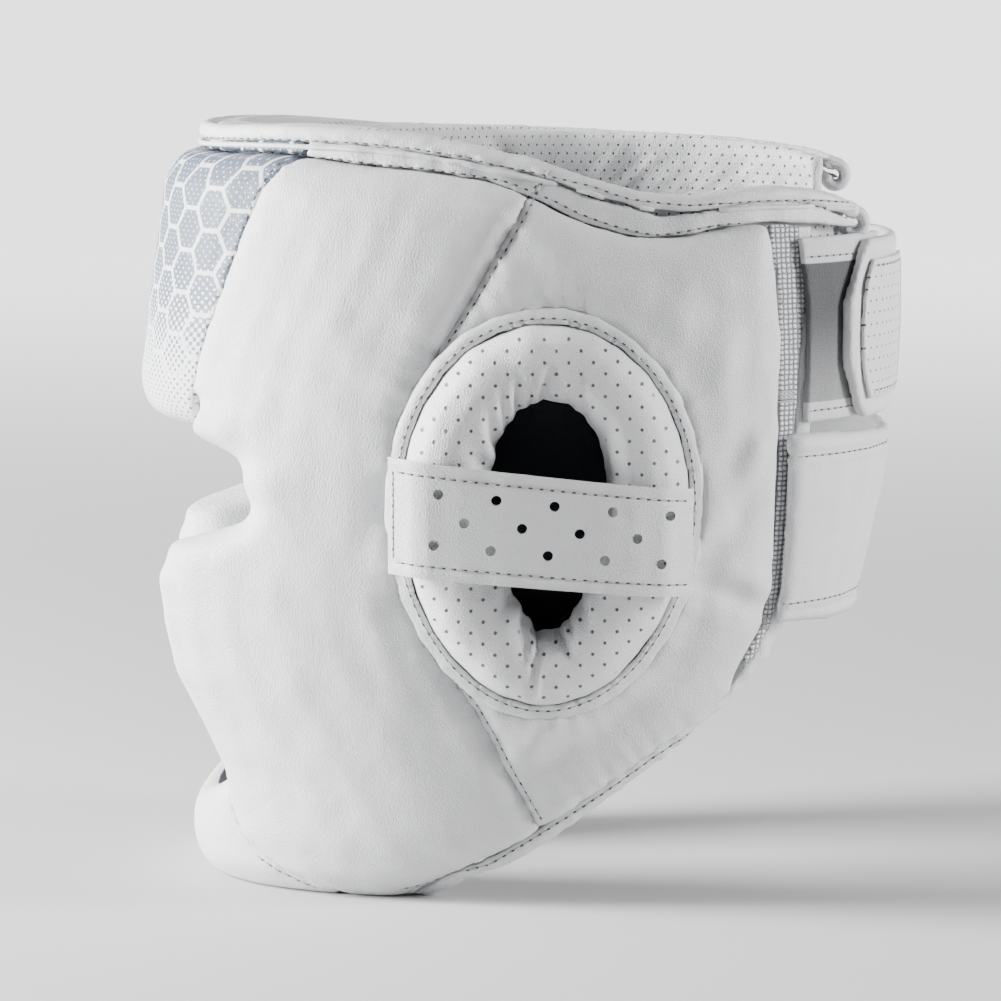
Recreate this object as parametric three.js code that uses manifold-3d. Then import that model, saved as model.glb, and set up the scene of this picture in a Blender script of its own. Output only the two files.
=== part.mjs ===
// Full face head guard for boxing: a shell of leather cushions round the head, open at the
// face, the crown and the nape, with a chin bar, padded ear rings and two rear straps.
// Millimetres, +Z up. The wearer faces -Y, the wearer's left is +X, and it stands on Z = 0.

import * as THREE from "three";
import { mergeVertices } from "three/addons/utils/BufferGeometryUtils.js";
import Module from "manifold-3d";

const wasm = await Module();
wasm.setup();

const { lerp, clamp, degToRad } = THREE.MathUtils;

// Overall sizes of the shell of cushions
const HEIGHT = 278;
const LENGTH = 272;
const HALF_WIDTH = 106;
const CENTRE_Y = -8;
const SQUARENESS = 2.3;

// Cushions
const PAD_THICKNESS = 40;
const SEAM_GAP = 0.8;
const FIT_GAP = 0.4;
const ROLL_WIDTH = 16;
const ROLL_SOFTNESS = 0.98;
const ROLL_SHARE = 0.45;
const FOOT_ROLL = 9;
const FOOT_ROLL_WIDTH = 12;
const TOP_ROLL_WIDTH = 13.6;
const REAR_ROLL_WIDTH = 11;
const MAIN_SEAM_DIP = 4.5;
const MAIN_SEAM_WIDTH = 11;
const PRINT_SEAM_DIP = 1.2;
const PRINT_SEAM_WIDTH = 5;
const BROW_HEIGHT = 0.605 * HEIGHT;
const CHIN_BAR_HEIGHT = 31;
const CHIN_BAR_RISE = 12;
const CHIN_BAR_SHARE = 0.85;
const CHIN_SEAM_GAP = 0.7;

// Top edge: a collar strip set in from the cushions, under a rolled binding
const COLLAR_INSET = 11;
const COLLAR_THICKNESS = 3;
const COLLAR_HEIGHT = 18;
const RIM_BINDING_WIDTH = 6.6;
const RIM_BINDING_THICKNESS = 6;
const RIM_LEVEL = 0.95 * HEIGHT;
const RIM_END_Y = 119;
const SWEATBAND_HEIGHT = 29;
const SWEATBAND_BULGE = 4;
const PIPING_RADIUS = 2.6;
const LINING_THICKNESS = 1.8;
const LINING_INSET = 12;
const LINING_GAP = 0.9;
const COLLAR_GAP = 1;

// Lower binding
const LOWER_BINDING_THICKNESS = 7;
const LOWER_BINDING_WIDTH = 6.8;
const LOWER_BINDING_TOP = 0.77 * HEIGHT;

// Ears
const EAR_Y = 9;
const EAR_Z = 0.5125 * HEIGHT;
const EAR_HALF_LENGTH = 55;
const EAR_HALF_HEIGHT = 72;
const EAR_SWELL = 0.05;
const EAR_SEAM_WIDTH = 9;
const EAR_RING_RISE = 9;
const EAR_FLANGE_WIDTH = 3.2;
const EAR_FLANGE_THICKNESS = 3;
const EAR_FLANGE_SLOPE = 1.5;
const EAR_HOLE_Y = 10.2;
const EAR_HOLE_HALF_LENGTH = 19.5;
const EAR_HOLE_HALF_HEIGHT = 40.5;
const EAR_HOLE_TAPER = 0.25;
const EAR_STRAP_FRONT_WIDTH = 41;
const EAR_STRAP_REAR_WIDTH = 38;
const EAR_STRAP_THICKNESS = 2.2;
const EAR_STRAP_FRONT_RISE = 1.5;
const EAR_STRAP_REAR_DROP = 9;
const EAR_STRAP_FRONT_Z = EAR_Z + EAR_STRAP_FRONT_RISE;
const EAR_STRAP_REAR_Z = EAR_Z - EAR_STRAP_REAR_DROP;
const EAR_STRAP_HOLE_RADIUS = 1.8;

// Rear flaps, webbing and straps
const FLAP_THICKNESS = 3;
const FLAP_DEPTH = 7;
const FLAP_ROLL = 2;
const WEBBING_WIDTH = 14.5;
const WEBBING_THICKNESS = 1.6;
const WING_THICKNESS = 2.6;
const WING_INSET = 12.3;
const WING_BOTTOM = 0.619 * HEIGHT;
const WING_TOP = 0.856 * HEIGHT;
const WING_END_ANGLE = degToRad(166);
const STRAP_THICKNESS = 3.2;
const CLOSURE_TOP = 0.849 * HEIGHT;
const CLOSURE_TIP_ANGLE = degToRad(147.5);
const CLOSURE_TIP_ROUND = degToRad(8);
const CLOSURE_LAP_ANGLE = degToRad(16);
const TAB_PAD_THICKNESS = 1.6;
const TAB_PAD_BORDER = 7;
const NECK_HEIGHT = 68;
const NECK_SAG = 7;
const NECK_THICKNESS = 5.6;
const NECK_BULGE = 3.4;
const NECK_ROLL_WIDTH = 5;
const NECK_END_GAP = 2.4;

// Heights are shares of HEIGHT; front and back reach are shares of LENGTH, measured from
// CENTRE_Y, and half is a share of HALF_WIDTH
const SECTIONS = [
  { z: 0, front: 0.408, back: 0.368, half: 0.736 },
  { z: 0.058, front: 0.415, back: 0.382, half: 0.811 },
  { z: 0.108, front: 0.415, back: 0.393, half: 0.849 },
  { z: 0.165, front: 0.421, back: 0.404, half: 0.887 },
  { z: 0.252, front: 0.469, back: 0.428, half: 0.934 },
  { z: 0.335, front: 0.503, back: 0.463, half: 0.967 },
  { z: 0.439, front: 0.52, back: 0.491, half: 0.995 },
  { z: 0.54, front: 0.508, back: 0.513, half: 1 },
  { z: 0.64, front: 0.484, back: 0.525, half: 0.995 },
  { z: 0.752, front: 0.471, back: 0.531, half: 0.972 },
  { z: 0.856, front: 0.456, back: 0.529, half: 0.934 },
  { z: 0.942, front: 0.445, back: 0.516, half: 0.896 },
  { z: 1, front: 0.436, back: 0.504, half: 0.858 },
];

// Round the head from front (0) to back (1): cushion thickness as a share of PAD_THICKNESS,
// and how far the collar is set in as a share of COLLAR_INSET
const ROUND_HEAD = [
  { turn: 0, pad: 1, collar: 1 },
  { turn: 0.25, pad: 0.97, collar: 1 },
  { turn: 0.39, pad: 0.8, collar: 1 },
  { turn: 0.5, pad: 0.43, collar: 0.9 },
  { turn: 0.61, pad: 0.3, collar: 0.75 },
  { turn: 0.72, pad: 0.27, collar: 0.5 },
  { turn: 0.86, pad: 0.255, collar: 0.3 },
  { turn: 1, pad: 0.24, collar: 0.25 },
];

// Front edge of the cheek cushion in side view: chin seam, cheek, eye notch, forehead seam.
// In this table and the next ones z is a share of HEIGHT and y a share of LENGTH
const FACE_EDGE = [
  { z: 0, y: -0.232 },
  { z: 0.022, y: -0.29 },
  { z: 0.045, y: -0.335 },
  { z: 0.072, y: -0.368 },
  { z: 0.108, y: -0.386 },
  { z: 0.151, y: -0.393 },
  { z: 0.198, y: -0.431 },
  { z: 0.245, y: -0.461 },
  { z: 0.284, y: -0.48 },
  { z: 0.327, y: -0.491 },
  { z: 0.374, y: -0.499 },
  { z: 0.417, y: -0.503 },
  { z: 0.446, y: -0.497 },
  { z: 0.468, y: -0.46 },
  { z: 0.486, y: -0.412 },
  { z: 0.498, y: -0.39 },
  { z: 0.509, y: -0.38 },
  { z: 0.525, y: -0.37 },
  { z: 0.549, y: -0.368 },
  { z: 0.568, y: -0.385 },
  { z: 0.586, y: -0.42 },
  { z: 0.599, y: -0.438 },
  { z: 0.608, y: -0.44 },
  { z: 0.647, y: -0.434 },
  { z: 0.691, y: -0.426 },
  { z: 0.734, y: -0.413 },
  { z: 0.773, y: -0.397 },
  { z: 0.82, y: -0.379 },
  { z: 0.867, y: -0.361 },
  { z: 0.91, y: -0.342 },
  { z: 0.939, y: -0.325 },
  { z: 0.971, y: -0.296 },
];
const CHIN_SEAM_TOP = 0.151 * HEIGHT;
const PRINT_SEAM_BOTTOM = 0.608 * HEIGHT;

const MAIN_SEAM = [
  { z: 0.072, y: 0.044 },
  { z: 0.112, y: 0.023 },
  { z: 0.173, y: -0.012 },
  { z: 0.227, y: -0.038 },
  { z: 0.27, y: -0.064 },
  { z: 0.299, y: -0.088 },
  { z: 0.36, y: -0.114 },
  { z: 0.432, y: -0.132 },
  { z: 0.532, y: -0.14 },
  { z: 0.619, y: -0.136 },
  { z: 0.683, y: -0.123 },
  { z: 0.73, y: -0.102 },
  { z: 0.784, y: -0.064 },
  { z: 0.849, y: -0.025 },
  { z: 0.906, y: 0.009 },
  { z: 0.953, y: 0.033 },
];

// Rear edge of the side cushion, and of the thin bound flap behind it
const REAR_EDGE = [
  { z: 0.268, cushion: 0.288, flap: 0.306 },
  { z: 0.309, cushion: 0.307, flap: 0.348 },
  { z: 0.352, cushion: 0.331, flap: 0.371 },
  { z: 0.378, cushion: 0.339, flap: 0.382 },
  { z: 0.432, cushion: 0.346, flap: 0.393 },
  { z: 0.63, cushion: 0.351, flap: 0.404 },
  { z: 0.709, cushion: 0.353, flap: 0.41 },
  { z: 0.784, cushion: 0.351, flap: 0.419 },
  { z: 0.835, cushion: 0.342, flap: 0.43 },
  { z: 0.885, cushion: 0.335, flap: 0.435 },
];

// Height of the rim on the left and on the right, and how far the collar drops below it as
// a share of COLLAR_HEIGHT
const RIM = [
  { y: -0.408, left: 0.996, right: 0.996, drop: 0.6 },
  { y: -0.324, left: 1, right: 0.991, drop: 0.62 },
  { y: -0.184, left: 0.995, right: 0.979, drop: 0.75 },
  { y: -0.096, left: 0.983, right: 0.977, drop: 0.7 },
  { y: -0.033, left: 0.973, right: 0.975, drop: 0.7 },
  { y: 0.011, left: 0.964, right: 0.974, drop: 0.83 },
  { y: 0.066, left: 0.945, right: 0.972, drop: 0.97 },
  { y: 0.118, left: 0.929, right: 0.969, drop: 1 },
  { y: 0.158, left: 0.919, right: 0.967, drop: 0.94 },
  { y: 0.188, left: 0.912, right: 0.965, drop: 0.86 },
  { y: 0.221, left: 0.914, right: 0.964, drop: 0.81 },
  { y: 0.265, left: 0.92, right: 0.963, drop: 0.78 },
  { y: 0.32, left: 0.924, right: 0.959, drop: 0.78 },
  { y: 0.371, left: 0.92, right: 0.954, drop: 0.78 },
  { y: 0.412, left: 0.909, right: 0.948, drop: 0.7 },
  { y: 0.434, left: 0.895, right: 0.94, drop: 0.55 },
];

// Lower edge: the outer edge of the binding and the cushions' own edge above it
const LOWER_EDGE = [
  { y: -0.221, bound: 0, pad: 0 },
  { y: -0.176, bound: 0, pad: 0 },
  { y: -0.154, bound: 0, pad: 0.008 },
  { y: -0.125, bound: 0, pad: 0.02 },
  { y: -0.112, bound: 0.004, pad: 0.028 },
  { y: -0.085, bound: 0.02, pad: 0.042 },
  { y: -0.051, bound: 0.036, pad: 0.056 },
  { y: -0.007, bound: 0.052, pad: 0.079 },
  { y: 0.037, bound: 0.078, pad: 0.106 },
  { y: 0.088, bound: 0.111, pad: 0.139 },
  { y: 0.169, bound: 0.166, pad: 0.194 },
  { y: 0.228, bound: 0.205, pad: 0.23 },
  { y: 0.287, bound: 0.248, pad: 0.269 },
];
const BINDING_START = -0.165 * LENGTH;
const BINDING_BLEND_START = -0.19 * LENGTH;
const BINDING_BLEND_LENGTH = 0.083 * LENGTH;
const BINDING_TURN_Y = 0.286 * LENGTH;
const BINDING_TURN_Z = 0.309 * HEIGHT;

// Holes of the ear strap: y and z are shares of the strap's length and front width
const STRAP_HOLE_ROWS = [
  { first: 0.165, step: 0.1895, count: 5, across: 0.245 },
  { first: 0.25, step: 0.188, count: 4, across: 0.02 },
  { first: 0.15, step: 0.186, count: 5, across: -0.2 },
];

// Shares of the way up a cheek cushion, closer together round the eye notch
const CHEEK_ROWS = [
  0, 0.01, 0.035, 0.075, 0.12, 0.165, 0.23, 0.3, 0.37, 0.43, 0.475, 0.49, 0.505, 0.515, 0.526,
  0.542, 0.577, 0.6, 0.618, 0.633, 0.645, 0.69, 0.76, 0.84, 0.91, 0.96, 0.99, 1,
];
// The side cushion shares its front seam with the cheek, and the ear fills the middle of it
const SIDE_ROWS = CHEEK_ROWS.filter((v) => v < 0.31 || v === 0.43 || v === 0.577 || v > 0.68);

// Shares of the way up the rear flap, closer together at its curved foot
const FLAP_ROWS = [0, 0.03, 0.057, 0.105, 0.175, 0.25, 0.4, 0.55, 0.7, 0.85, 0.93, 1];

const LEATHER = { color: 0xe9e9ea, roughness: 0.5, metalness: 0 };
const PRINT = { color: 0xaab2bd, roughness: 0.5, metalness: 0 };
const DARK = { color: 0x1d222b, roughness: 0.9, metalness: 0 };
const WOVEN = { color: 0xcfd1d3, roughness: 0.8, metalness: 0 };

const CUT_FROM = 0.35 * HALF_WIDTH;
const CUT_TO = 1.3 * HALF_WIDTH;

// A smooth line through one column of a table, level beyond its ends
function follow(table, key, column) {
  const xs = table.map((row) => row[key]);
  const ys = table.map((row) => row[column]);
  const last = xs.length - 1;
  const chord = (i) => (ys[i + 1] - ys[i]) / (xs[i + 1] - xs[i]);
  const slopes = xs.map((_, i) => {
    if (i === 0 || i === last) return 0;
    const product = chord(i - 1) * chord(i);
    return product > 0 ? (2 * product) / (chord(i - 1) + chord(i)) : 0;
  });
  return (x) => {
    if (x <= xs[0]) return ys[0];
    if (x >= xs[last]) return ys[last];
    const i = xs.findIndex((_, n) => x < xs[n + 1]);
    const width = xs[i + 1] - xs[i];
    const t = (x - xs[i]) / width;
    const bend = t * t * (3 - 2 * t);
    const leave = t * (1 - t) * (1 - t) * slopes[i];
    const arrive = t * t * (t - 1) * slopes[i + 1];
    return lerp(ys[i], ys[i + 1], bend) + width * (leave + arrive);
  };
}

const frontShare = follow(SECTIONS, "z", "front");
const backShare = follow(SECTIONS, "z", "back");
const halfShare = follow(SECTIONS, "z", "half");
const padShare = follow(ROUND_HEAD, "turn", "pad");
const collarShare = follow(ROUND_HEAD, "turn", "collar");
const faceEdgeY = follow(FACE_EDGE, "z", "y");
const mainSeamY = follow(MAIN_SEAM, "z", "y");
const cushionEndY = follow(REAR_EDGE, "z", "cushion");
const flapEndY = follow(REAR_EDGE, "z", "flap");
const rimShares = { left: follow(RIM, "y", "left"), right: follow(RIM, "y", "right") };
const dropShare = follow(RIM, "y", "drop");
const boundShare = follow(LOWER_EDGE, "y", "bound");
const padEdgeShare = follow(LOWER_EDGE, "y", "pad");

// The shell: a point at an angle round the head (0 at the brow, positive to the wearer's
// left), a height, and a depth below the cushions' outer face
function shell(phi, z, depth = 0) {
  const share = z / HEIGHT;
  const reach = (Math.cos(phi) > 0 ? frontShare(share) : backShare(share)) * LENGTH - depth;
  const half = halfShare(share) * HALF_WIDTH - depth;
  const across = Math.abs(Math.sin(phi)) ** (2 / SQUARENESS);
  const along = Math.abs(Math.cos(phi)) ** (2 / SQUARENESS);
  return new THREE.Vector3(
    Math.sign(Math.sin(phi)) * half * across,
    CENTRE_Y - Math.sign(Math.cos(phi)) * reach * along,
    z,
  );
}

// The angle on the wearer's left at which the shell passes y at height z
function angleAt(y, z, depth = 0) {
  const share = z / HEIGHT;
  const reach = (y < CENTRE_Y ? frontShare(share) : backShare(share)) * LENGTH - depth;
  const along = clamp(Math.abs(y - CENTRE_Y) / reach, 0, 1);
  const phi = Math.acos(along ** (SQUARENESS / 2));
  return y < CENTRE_Y ? phi : Math.PI - phi;
}

const turnOf = (phi) => Math.abs(phi) / Math.PI;
const padDepth = (phi) => padShare(turnOf(phi)) * PAD_THICKNESS;
const collarDepth = (phi) => collarShare(turnOf(phi)) * COLLAR_INSET;
const sideName = (side) => (side > 0 ? "left" : "right");

// Heights round the rim, for an angle on either side
function rimHeight(phi) {
  const share = shell(phi, RIM_LEVEL, collarDepth(phi)).y / LENGTH;
  return rimShares[phi < 0 ? "right" : "left"](share) * HEIGHT;
}

function collarDrop(phi) {
  return dropShare(shell(phi, RIM_LEVEL, collarDepth(phi)).y / LENGTH) * COLLAR_HEIGHT;
}

const topSeam = (phi) => rimHeight(phi) - collarDrop(phi);

// Angle round the head that a length along the shell takes up
const angleOf = (length, phi, z) => length / shell(phi, z).setZ(0).length();
const halfGap = (phi, z) => angleOf(SEAM_GAP / 2, phi, z);

// Angles of the seams at a height, on the wearer's left
const faceEdge = (z) => angleAt(faceEdgeY(z / HEIGHT) * LENGTH, z);
const mainSeam = (z) => angleAt(mainSeamY(z / HEIGHT) * LENGTH, z);
const cushionEnd = (z) => angleAt(cushionEndY(z / HEIGHT) * LENGTH, z);
const flapStart = (z) => cushionEnd(z) + angleOf(SEAM_GAP, cushionEnd(z), z);
const rimEnd = angleAt(RIM_END_Y, RIM_LEVEL, COLLAR_INSET * collarShare(0.86));
const printEnd = faceEdge(topSeam(faceEdge(RIM_LEVEL)));

// Shares from 0 to 1, closer together towards both ends
function spread(count) {
  return Array.from({ length: count + 1 }, (_, i) => (1 - Math.cos((Math.PI * i) / count)) / 2);
}

function even(count) {
  return Array.from({ length: count + 1 }, (_, i) => i / count);
}

// A closed geometry with its faces pointing out
function solidGeometry(points, triangles) {
  let volume = 0;
  for (const [a, b, c] of triangles) {
    volume += points[a].dot(new THREE.Vector3().crossVectors(points[b], points[c]));
  }
  const order = volume > 0 ? triangles : triangles.map(([a, b, c]) => [a, c, b]);
  const geometry = new THREE.BufferGeometry();
  geometry.setAttribute(
    "position",
    new THREE.Float32BufferAttribute(points.flatMap((p) => [p.x, p.y, p.z]), 3),
  );
  geometry.setIndex(order.flat());
  return geometry;
}

// A slab between an outer and an inner grid of points, closed round its edges
function slab(outer, inner) {
  const rows = outer.length;
  const columns = outer[0].length;
  const points = [...outer.flat(), ...inner.flat()];
  const front = (r, c) => r * columns + c;
  const back = (r, c) => rows * columns + front(r, c);
  const triangles = [];
  const quad = (a, b, c, d) => triangles.push([a, b, c], [a, c, d]);
  for (let r = 0; r + 1 < rows; r += 1) {
    for (let c = 0; c + 1 < columns; c += 1) {
      quad(front(r, c), front(r, c + 1), front(r + 1, c + 1), front(r + 1, c));
      quad(back(r, c), back(r + 1, c), back(r + 1, c + 1), back(r, c + 1));
    }
  }
  for (let c = 0; c + 1 < columns; c += 1) {
    quad(front(0, c), back(0, c), back(0, c + 1), front(0, c + 1));
    quad(front(rows - 1, c + 1), back(rows - 1, c + 1), back(rows - 1, c), front(rows - 1, c));
  }
  for (let r = 0; r + 1 < rows; r += 1) {
    const end = columns - 1;
    quad(front(r, 0), front(r + 1, 0), back(r + 1, 0), back(r, 0));
    quad(back(r + 1, end), front(r + 1, end), front(r, end), back(r, end));
  }
  return solidGeometry(points, triangles);
}

// A solid through rings of points, joined end to end or closed by flat ends
function loft(rings, joined = false) {
  const count = rings[0].length;
  const points = rings.flat();
  const at = (i, j) => (i % rings.length) * count + (j % count);
  const triangles = [];
  const spans = joined ? rings.length : rings.length - 1;
  for (let i = 0; i < spans; i += 1) {
    for (let j = 0; j < count; j += 1) {
      triangles.push([at(i, j), at(i, j + 1), at(i + 1, j + 1)]);
      triangles.push([at(i, j), at(i + 1, j + 1), at(i + 1, j)]);
    }
  }
  for (let j = 1; !joined && j + 1 < count; j += 1) {
    triangles.push([at(0, 0), at(0, j + 1), at(0, j)]);
    triangles.push([at(spans, 0), at(spans, j), at(spans, j + 1)]);
  }
  return solidGeometry(points, triangles);
}

function toManifold(geometry) {
  const bare = geometry.clone();
  bare.deleteAttribute("normal");
  bare.deleteAttribute("uv");
  const merged = mergeVertices(bare);
  const vertProperties = new Float32Array(merged.attributes.position.array);
  const triVerts = new Uint32Array(merged.index.array);
  return new wasm.Manifold(new wasm.Mesh({ numProp: 3, vertProperties, triVerts }));
}

function toGeometry(manifold) {
  const mesh = manifold.getMesh();
  const geometry = new THREE.BufferGeometry();
  geometry.setAttribute("position", new THREE.BufferAttribute(mesh.vertProperties, 3));
  geometry.setIndex(new THREE.BufferAttribute(mesh.triVerts, 1));
  return geometry;
}

function cut(geometry, tools) {
  const solid = tools.reduce((body, tool) => body.subtract(toManifold(tool)), toManifold(geometry));
  return toGeometry(solid);
}

// How far a rolled edge has dipped at a share of its width in from the edge
function roll(share) {
  const inward = 1 - clamp(share, 0, 1);
  return 1 - Math.sqrt(1 - ROLL_SOFTNESS * inward * inward);
}

// The largest dip at a point from edges given as lines of { point, rule }
function dipsAt(point, edges) {
  let out = 0;
  let inner = 0;
  const segment = new THREE.Line3();
  const foot = new THREE.Vector3();
  for (const edge of edges) {
    let distance = Infinity;
    let rule = null;
    for (let i = 0; i + 1 < edge.length; i += 1) {
      segment.set(edge[i].point, edge[i + 1].point).closestPointToPoint(point, true, foot);
      const gap = foot.distanceTo(point);
      if (gap < distance) {
        distance = gap;
        rule = edge[i].rule;
      }
    }
    out = Math.max(out, rule.out * roll(distance / rule.width));
    inner = Math.max(inner, rule.inner * roll(distance / (rule.innerWidth ?? rule.width)));
  }
  return { out, inner };
}

// A piece of the shell between two angles that depend on height and two heights that depend
// on the angle and y. Depths come from outer and inner, plus the dips of its edges
function patch({ left, right, bottom, top, us, vs, outer, inner, rules = {}, lines = [] }) {
  const place = (u, v) => {
    let phi = 0;
    let z = lerp(0, HEIGHT, v);
    for (let pass = 0; pass < 9; pass += 1) {
      phi = lerp(left(z), right(z), u);
      const y = shell(phi, z).y;
      z = lerp(bottom(y, phi), top(phi, y), v);
    }
    return { phi, z, u, v, y: shell(phi, z).y };
  };
  const borders = { left: [0, null], right: [1, null], bottom: [null, 0], top: [null, 1] };
  const edges = Object.entries(rules).map(([name, rule]) =>
    even(60).map((s) => {
      const [u, v] = borders[name];
      const spot = place(u ?? s, v ?? s);
      return { point: shell(spot.phi, spot.z), rule: rule(spot) };
    }),
  );
  const outerGrid = [];
  const innerGrid = [];
  for (const v of vs) {
    const spots = us.map((u) => place(u, v));
    const dips = spots.map((s) => dipsAt(shell(s.phi, s.z), [...edges, ...lines]));
    outerGrid.push(spots.map((s, i) => shell(s.phi, s.z, outer(s) + dips[i].out)));
    innerGrid.push(spots.map((s, i) => shell(s.phi, s.z, inner(s) - dips[i].inner)));
  }
  return slab(outerGrid, innerGrid);
}

// Edge rules of the cushions
const rolledEdge = ({ phi }) => {
  const turned = padDepth(phi) * ROLL_SHARE;
  return { out: turned, inner: turned, width: ROLL_WIDTH };
};
const footEdge = () => ({ out: FOOT_ROLL, inner: FOOT_ROLL, width: FOOT_ROLL_WIDTH });
const mainSeamEdge = () => ({ out: MAIN_SEAM_DIP, inner: 0, width: MAIN_SEAM_WIDTH });
const printSeamEdge = () => ({ out: PRINT_SEAM_DIP, inner: 0, width: PRINT_SEAM_WIDTH });
const topEdge = ({ phi }) => ({
  out: collarDepth(phi),
  inner: padDepth(phi) - collarDepth(phi) - COLLAR_THICKNESS - COLLAR_GAP,
  width: TOP_ROLL_WIDTH,
  innerWidth: SWEATBAND_HEIGHT - collarDrop(phi) + ROLL_WIDTH,
});
// The foot's roll turns into the bound edge's roll over the start of the binding
const boundEdge = ({ phi, y }) => {
  const share = clamp((y - BINDING_BLEND_START) / BINDING_BLEND_LENGTH, 0, 1);
  const turned = (padDepth(phi) - LOWER_BINDING_THICKNESS) * ROLL_SHARE;
  return {
    out: lerp(FOOT_ROLL, turned, share),
    inner: lerp(FOOT_ROLL, turned, share),
    width: lerp(FOOT_ROLL_WIDTH, ROLL_WIDTH, share),
  };
};
const rearEdge = () => ({ out: FLAP_DEPTH, inner: FLAP_ROLL, width: REAR_ROLL_WIDTH });
const neckEdge = () => {
  const turned = NECK_THICKNESS * ROLL_SHARE;
  return { out: turned, inner: turned, width: NECK_ROLL_WIDTH };
};
const faceRule = (spot) => {
  if (spot.z < CHIN_SEAM_TOP || spot.z > PRINT_SEAM_BOTTOM) return printSeamEdge();
  return rolledEdge(spot);
};

// Side view outlines of the ear: grow moves the outline out
function earOutline(turn, grow = 0) {
  const swell = 1 + EAR_SWELL * Math.sin(turn);
  return {
    y: EAR_Y + (EAR_HALF_LENGTH * swell + grow) * Math.cos(turn),
    z: EAR_Z + (EAR_HALF_HEIGHT + grow) * Math.sin(turn),
  };
}

function earHoleOutline(turn, grow = 0) {
  const swell = 1 + EAR_HOLE_TAPER * Math.sin(turn);
  return {
    y: EAR_HOLE_Y + (EAR_HOLE_HALF_LENGTH * swell + grow) * Math.cos(turn),
    z: EAR_Z + (EAR_HOLE_HALF_HEIGHT + grow) * Math.sin(turn),
  };
}

const turns = (count) => Array.from({ length: count }, (_, i) => (2 * Math.PI * i) / count);

// The point of the shell over a spot in side view, raised by lift
function overSide(side, { y, z }, lift) {
  const point = shell(side * angleAt(y, z), z);
  point.x += side * lift;
  return point;
}

// A prism along X through one side of the head, on an outline of the side view
function sideCutter(side, outline, count) {
  const ring = (x) => turns(count).map((turn) => {
    const { y, z } = outline(turn);
    return new THREE.Vector3(side * x, y, z);
  });
  return loft([ring(CUT_FROM), ring(CUT_TO)]);
}

const group = new THREE.Group();

function piece(name, geometry, look) {
  const mesh = new THREE.Mesh(geometry, new THREE.MeshStandardMaterial(look));
  mesh.name = name;
  group.add(mesh);
}

const earLine = (side) => {
  const rule = { out: MAIN_SEAM_DIP, inner: 0, width: EAR_SEAM_WIDTH };
  return [...turns(40), 0].map((turn) => ({ point: overSide(side, earOutline(turn), 0), rule }));
};
const earCutter = (side) => sideCutter(side, (turn) => earOutline(turn), 32);
const onSide = (side, angle) => (z) => side * angle(z);

function foreheadPad() {
  const edge = (z) => {
    const seam = faceEdge(Math.max(z, PRINT_SEAM_BOTTOM));
    return seam - halfGap(seam, z);
  };
  const seamTop = topSeam(faceEdge(RIM_LEVEL));
  const levels = CHEEK_ROWS.map((v) => (v * seamTop - BROW_HEIGHT) / (seamTop - BROW_HEIGHT));
  return patch({
    left: (z) => -edge(z),
    right: edge,
    bottom: () => BROW_HEIGHT,
    top: topSeam,
    us: even(12),
    vs: [0, ...levels.filter((v) => v > 0.02), 0.08].sort((a, b) => a - b),
    outer: () => 0,
    inner: ({ phi }) => padDepth(phi),
    rules: { left: printSeamEdge, right: printSeamEdge, bottom: rolledEdge, top: topEdge },
  });
}

function cheekPad(side) {
  const front = (z) => faceEdge(z) + halfGap(faceEdge(z), z);
  const back = (z) => mainSeam(z) - halfGap(mainSeam(z), z);
  const pad = patch({
    left: onSide(side, front),
    right: onSide(side, back),
    bottom: (y) => padEdgeShare(y / LENGTH) * HEIGHT,
    top: topSeam,
    us: spread(9),
    vs: CHEEK_ROWS,
    outer: () => 0,
    inner: ({ phi }) => padDepth(phi),
    rules: { left: faceRule, right: mainSeamEdge, bottom: boundEdge, top: topEdge },
    lines: [earLine(side)],
  });
  return cut(pad, [earCutter(side)]);
}

function sidePad(side) {
  const front = (z) => mainSeam(z) + halfGap(mainSeam(z), z);
  const pad = patch({
    left: onSide(side, front),
    right: onSide(side, cushionEnd),
    bottom: (y) => padEdgeShare(y / LENGTH) * HEIGHT,
    top: topSeam,
    us: spread(9),
    vs: SIDE_ROWS,
    outer: () => 0,
    inner: ({ phi }) => padDepth(phi),
    rules: { left: mainSeamEdge, right: rearEdge, bottom: boundEdge, top: topEdge },
    lines: [earLine(side)],
  });
  return cut(pad, [earCutter(side)]);
}

function chinBar() {
  const edge = (z) => {
    const seam = faceEdge(clamp(z, 0, CHIN_SEAM_TOP));
    return seam - angleOf(CHIN_SEAM_GAP, seam, z);
  };
  const tip = edge(CHIN_SEAM_TOP);
  const tipHeight = CHIN_BAR_HEIGHT + CHIN_BAR_RISE;
  const cheekTop = topSeam(faceEdge(RIM_LEVEL));
  const rows = CHEEK_ROWS.map((v) => (v * cheekTop) / tipHeight).filter((v) => v < 0.9);
  return patch({
    left: (z) => -edge(z),
    right: edge,
    bottom: () => 0,
    top: (phi) => CHIN_BAR_HEIGHT + CHIN_BAR_RISE * clamp(Math.abs(phi) / tip, 0, 1) ** 2,
    us: even(14),
    vs: [...rows, 0.93, 1],
    outer: () => 0,
    inner: ({ phi }) => padDepth(phi) * CHIN_BAR_SHARE,
    rules: { left: printSeamEdge, right: printSeamEdge, bottom: footEdge, top: footEdge },
  });
}

// A strip that follows the rim: each ring is a list of { drop, depth } below and behind it
function rimStrip(from, to, count, profile) {
  const rings = even(count).map((share) => {
    const phi = lerp(from, to, share);
    const top = rimHeight(phi);
    return profile(phi).map(({ drop, depth }) => shell(phi, top - drop, depth));
  });
  return loft(rings);
}

const collarProfile = (phi) => {
  const depth = collarDepth(phi);
  const upper = RIM_BINDING_WIDTH + COLLAR_GAP;
  const lower = collarDrop(phi) - COLLAR_GAP;
  return [
    { drop: upper, depth },
    { drop: upper, depth: depth + COLLAR_THICKNESS },
    { drop: lower, depth: depth + COLLAR_THICKNESS },
    { drop: lower, depth },
  ];
};

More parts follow.
